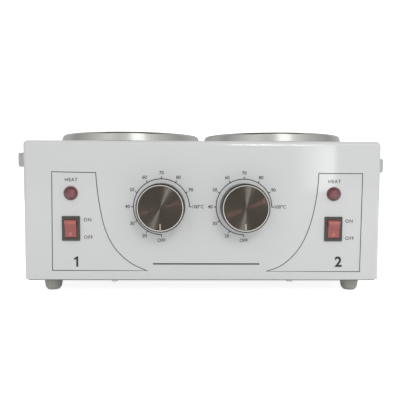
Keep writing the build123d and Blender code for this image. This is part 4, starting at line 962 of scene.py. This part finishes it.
class WARMER_OT_stage(bpy.types.Operator):
    """Sets the floor, the lamps and the camera"""

    bl_idname = "warmer.stage"
    bl_label = "Stage"

    def execute(self, context):
        settings = context.scene.warmer_stage
        scene = context.scene
        self.add_floor()
        self.light_world(scene, settings.ambient)
        for lamp in STUDIO_LAMPS:
            self.place_lamp(settings, *lamp)
        add_wall()
        add_ceiling()
        for highlight in HIGHLIGHTS:
            add_highlight(*highlight)
        for values, colour, nodes in SNOOTED_LAMPS:
            lamp = self.place_lamp(settings, *values)
            lamp.data.color = colour
            fall_only_on(lamp, nodes)
        self.add_camera(scene)
        scene.view_settings.view_transform = "Standard"
        return {"FINISHED"}

    def place_lamp(self, settings, name, place, target, width, height, setting, share):
        """A lamp whose power is a share of one of the stage's settings."""
        return add_lamp(name, place, target, width, height, getattr(settings, setting) * share)

    def add_floor(self):
        """A wide sheet of white paper that curves up at the back."""
        form = bmesh.new()
        run = [(FLOOR_FRONT, 0.0), (FLOOR_BEND, 0.0)]
        for i in range(1, BEND_STEPS + 1):
            turn = math.pi / 2 * i / BEND_STEPS
            back, rise = BEND_RADIUS * math.sin(turn), BEND_RADIUS * (1 - math.cos(turn))
            run.append((FLOOR_BEND + back, rise))
        run.append((FLOOR_BEND + BEND_RADIUS, FLOOR_TOP))
        rows = [[form.verts.new((x, y, z)) for x in (-FLOOR_HALF, FLOOR_HALF)] for y, z in run]
        for (a, b), (c, d) in zip(rows, rows[1:]):
            face = form.faces.new((a, b, d, c))
            face.smooth = True
        mesh = bpy.data.meshes.new("paper_floor")
        form.to_mesh(mesh)
        form.free()
        # White paper. Where it is looked at, it adds enough light to read as white, and the
        # warmer's shadow still darkens it.
        material = bpy.data.materials.new("White paper")
        material.use_nodes = True
        tree = material.node_tree
        tree.nodes.clear()
        lift = add_node(
            tree, "ShaderNodeMath", {"operation": "MULTIPLY"}, {0: rays_that_look(tree), 1: PAPER_GLOW}
        )
        paper = add_node(tree, "ShaderNodeBsdfDiffuse", None, {"Color": (*PAPER_GREY, 1)})
        glow = add_node(tree, "ShaderNodeEmission", None, {"Strength": lift.outputs[0]})
        total = add_node(
            tree, "ShaderNodeAddShader", None, {0: paper.outputs[0], 1: glow.outputs[0]}
        )
        add_node(tree, "ShaderNodeOutputMaterial", None, {"Surface": total.outputs[0]})
        mesh.materials.append(material)
        floor = bpy.data.objects.new("paper_floor", mesh)
        bpy.context.scene.collection.objects.link(floor)

    def light_world(self, scene, ambient):
        """An even world: white where it is looked at, and a plain level of light elsewhere."""
        world = bpy.data.worlds.new("Studio")
        scene.world = world
        world.use_nodes = True
        tree = world.node_tree
        tree.nodes.clear()
        level = add_node(
            tree,
            "ShaderNodeMapRange",
            None,
            {"Value": rays_that_look(tree), "To Min": ambient, "To Max": 1.0},
        )
        sky = add_node(
            tree,
            "ShaderNodeBackground",
            None,
            {"Color": (*WHITE_LIGHT, 1), "Strength": level.outputs[0]},
        )
        add_node(tree, "ShaderNodeOutputWorld", None, {"Surface": sky.outputs[0]})

    def add_camera(self, scene):
        """The camera at the photograph's angle."""
        forward = Vector(
            (
                math.sin(CAMERA_YAW) * math.cos(CAMERA_PITCH),
                math.cos(CAMERA_YAW) * math.cos(CAMERA_PITCH),
                math.sin(CAMERA_PITCH),
            )
        )
        right = Vector((math.cos(CAMERA_YAW), -math.sin(CAMERA_YAW), 0))
        up = right.cross(forward)
        turned_right = right * math.cos(CAMERA_ROLL) + up * math.sin(CAMERA_ROLL)
        turned_up = up * math.cos(CAMERA_ROLL) - right * math.sin(CAMERA_ROLL)
        data = bpy.data.cameras.new("camera")
        data.lens = CAMERA_LENS
        data.sensor_width = SENSOR_WIDTH
        camera = bpy.data.objects.new("camera", data)
        scene.collection.objects.link(camera)
        turn = Matrix((turned_right, turned_up, -forward)).transposed()
        camera.matrix_world = Matrix.Translation(CAMERA_PLACE) @ turn.to_4x4()
        scene.camera = camera


OPERATORS = (
    WARMER_OT_casing,
    WARMER_OT_handles_feet,
    WARMER_OT_pots,
    WARMER_OT_knobs,
    WARMER_OT_switches_lamps,
    WARMER_OT_panel_print,
    WARMER_OT_inside,
    WARMER_OT_stage,
)


class WARMER_PT_panel(bpy.types.Panel):
    """Lists the warmer's pieces and their settings"""

    bl_idname = "WARMER_PT_panel"
    bl_label = "Wax Warmer"
    bl_space_type = "VIEW_3D"
    bl_region_type = "UI"
    bl_category = "Warmer"

    def draw(self, context):
        scene = context.scene
        for group in (scene.warmer_finishes, scene.warmer_print, scene.warmer_stage):
            column = self.layout.column(align=True)
            for name in group.__annotations__:
                column.prop(group, name)
        for operator in OPERATORS:
            self.layout.operator(operator.bl_idname)


CLASSES = (WarmerFinishes, WarmerPrint, WarmerStage, *OPERATORS, WARMER_PT_panel)


def register():
    """Registers the classes and the settings that the scene keeps."""
    for cls in CLASSES:
        bpy.utils.register_class(cls)
    bpy.types.Scene.warmer_finishes = PointerProperty(type=WarmerFinishes)
    bpy.types.Scene.warmer_print = PointerProperty(type=WarmerPrint)
    bpy.types.Scene.warmer_stage = PointerProperty(type=WarmerStage)


def unregister():
    """Takes the settings and the classes away again."""
    del bpy.types.Scene.warmer_stage
    del bpy.types.Scene.warmer_print
    del bpy.types.Scene.warmer_finishes
    for cls in reversed(CLASSES):
        bpy.utils.unregister_class(cls)


def main():
    """Builds every piece and the stage."""
    register()
    bpy.ops.warmer.casing()
    bpy.ops.warmer.handles_feet()
    bpy.ops.warmer.pots()
    bpy.ops.warmer.knobs()
    bpy.ops.warmer.switches_lamps()
    bpy.ops.warmer.panel_print()
    bpy.ops.warmer.inside()
    bpy.ops.warmer.stage()


if __name__ == "__main__":
    main()
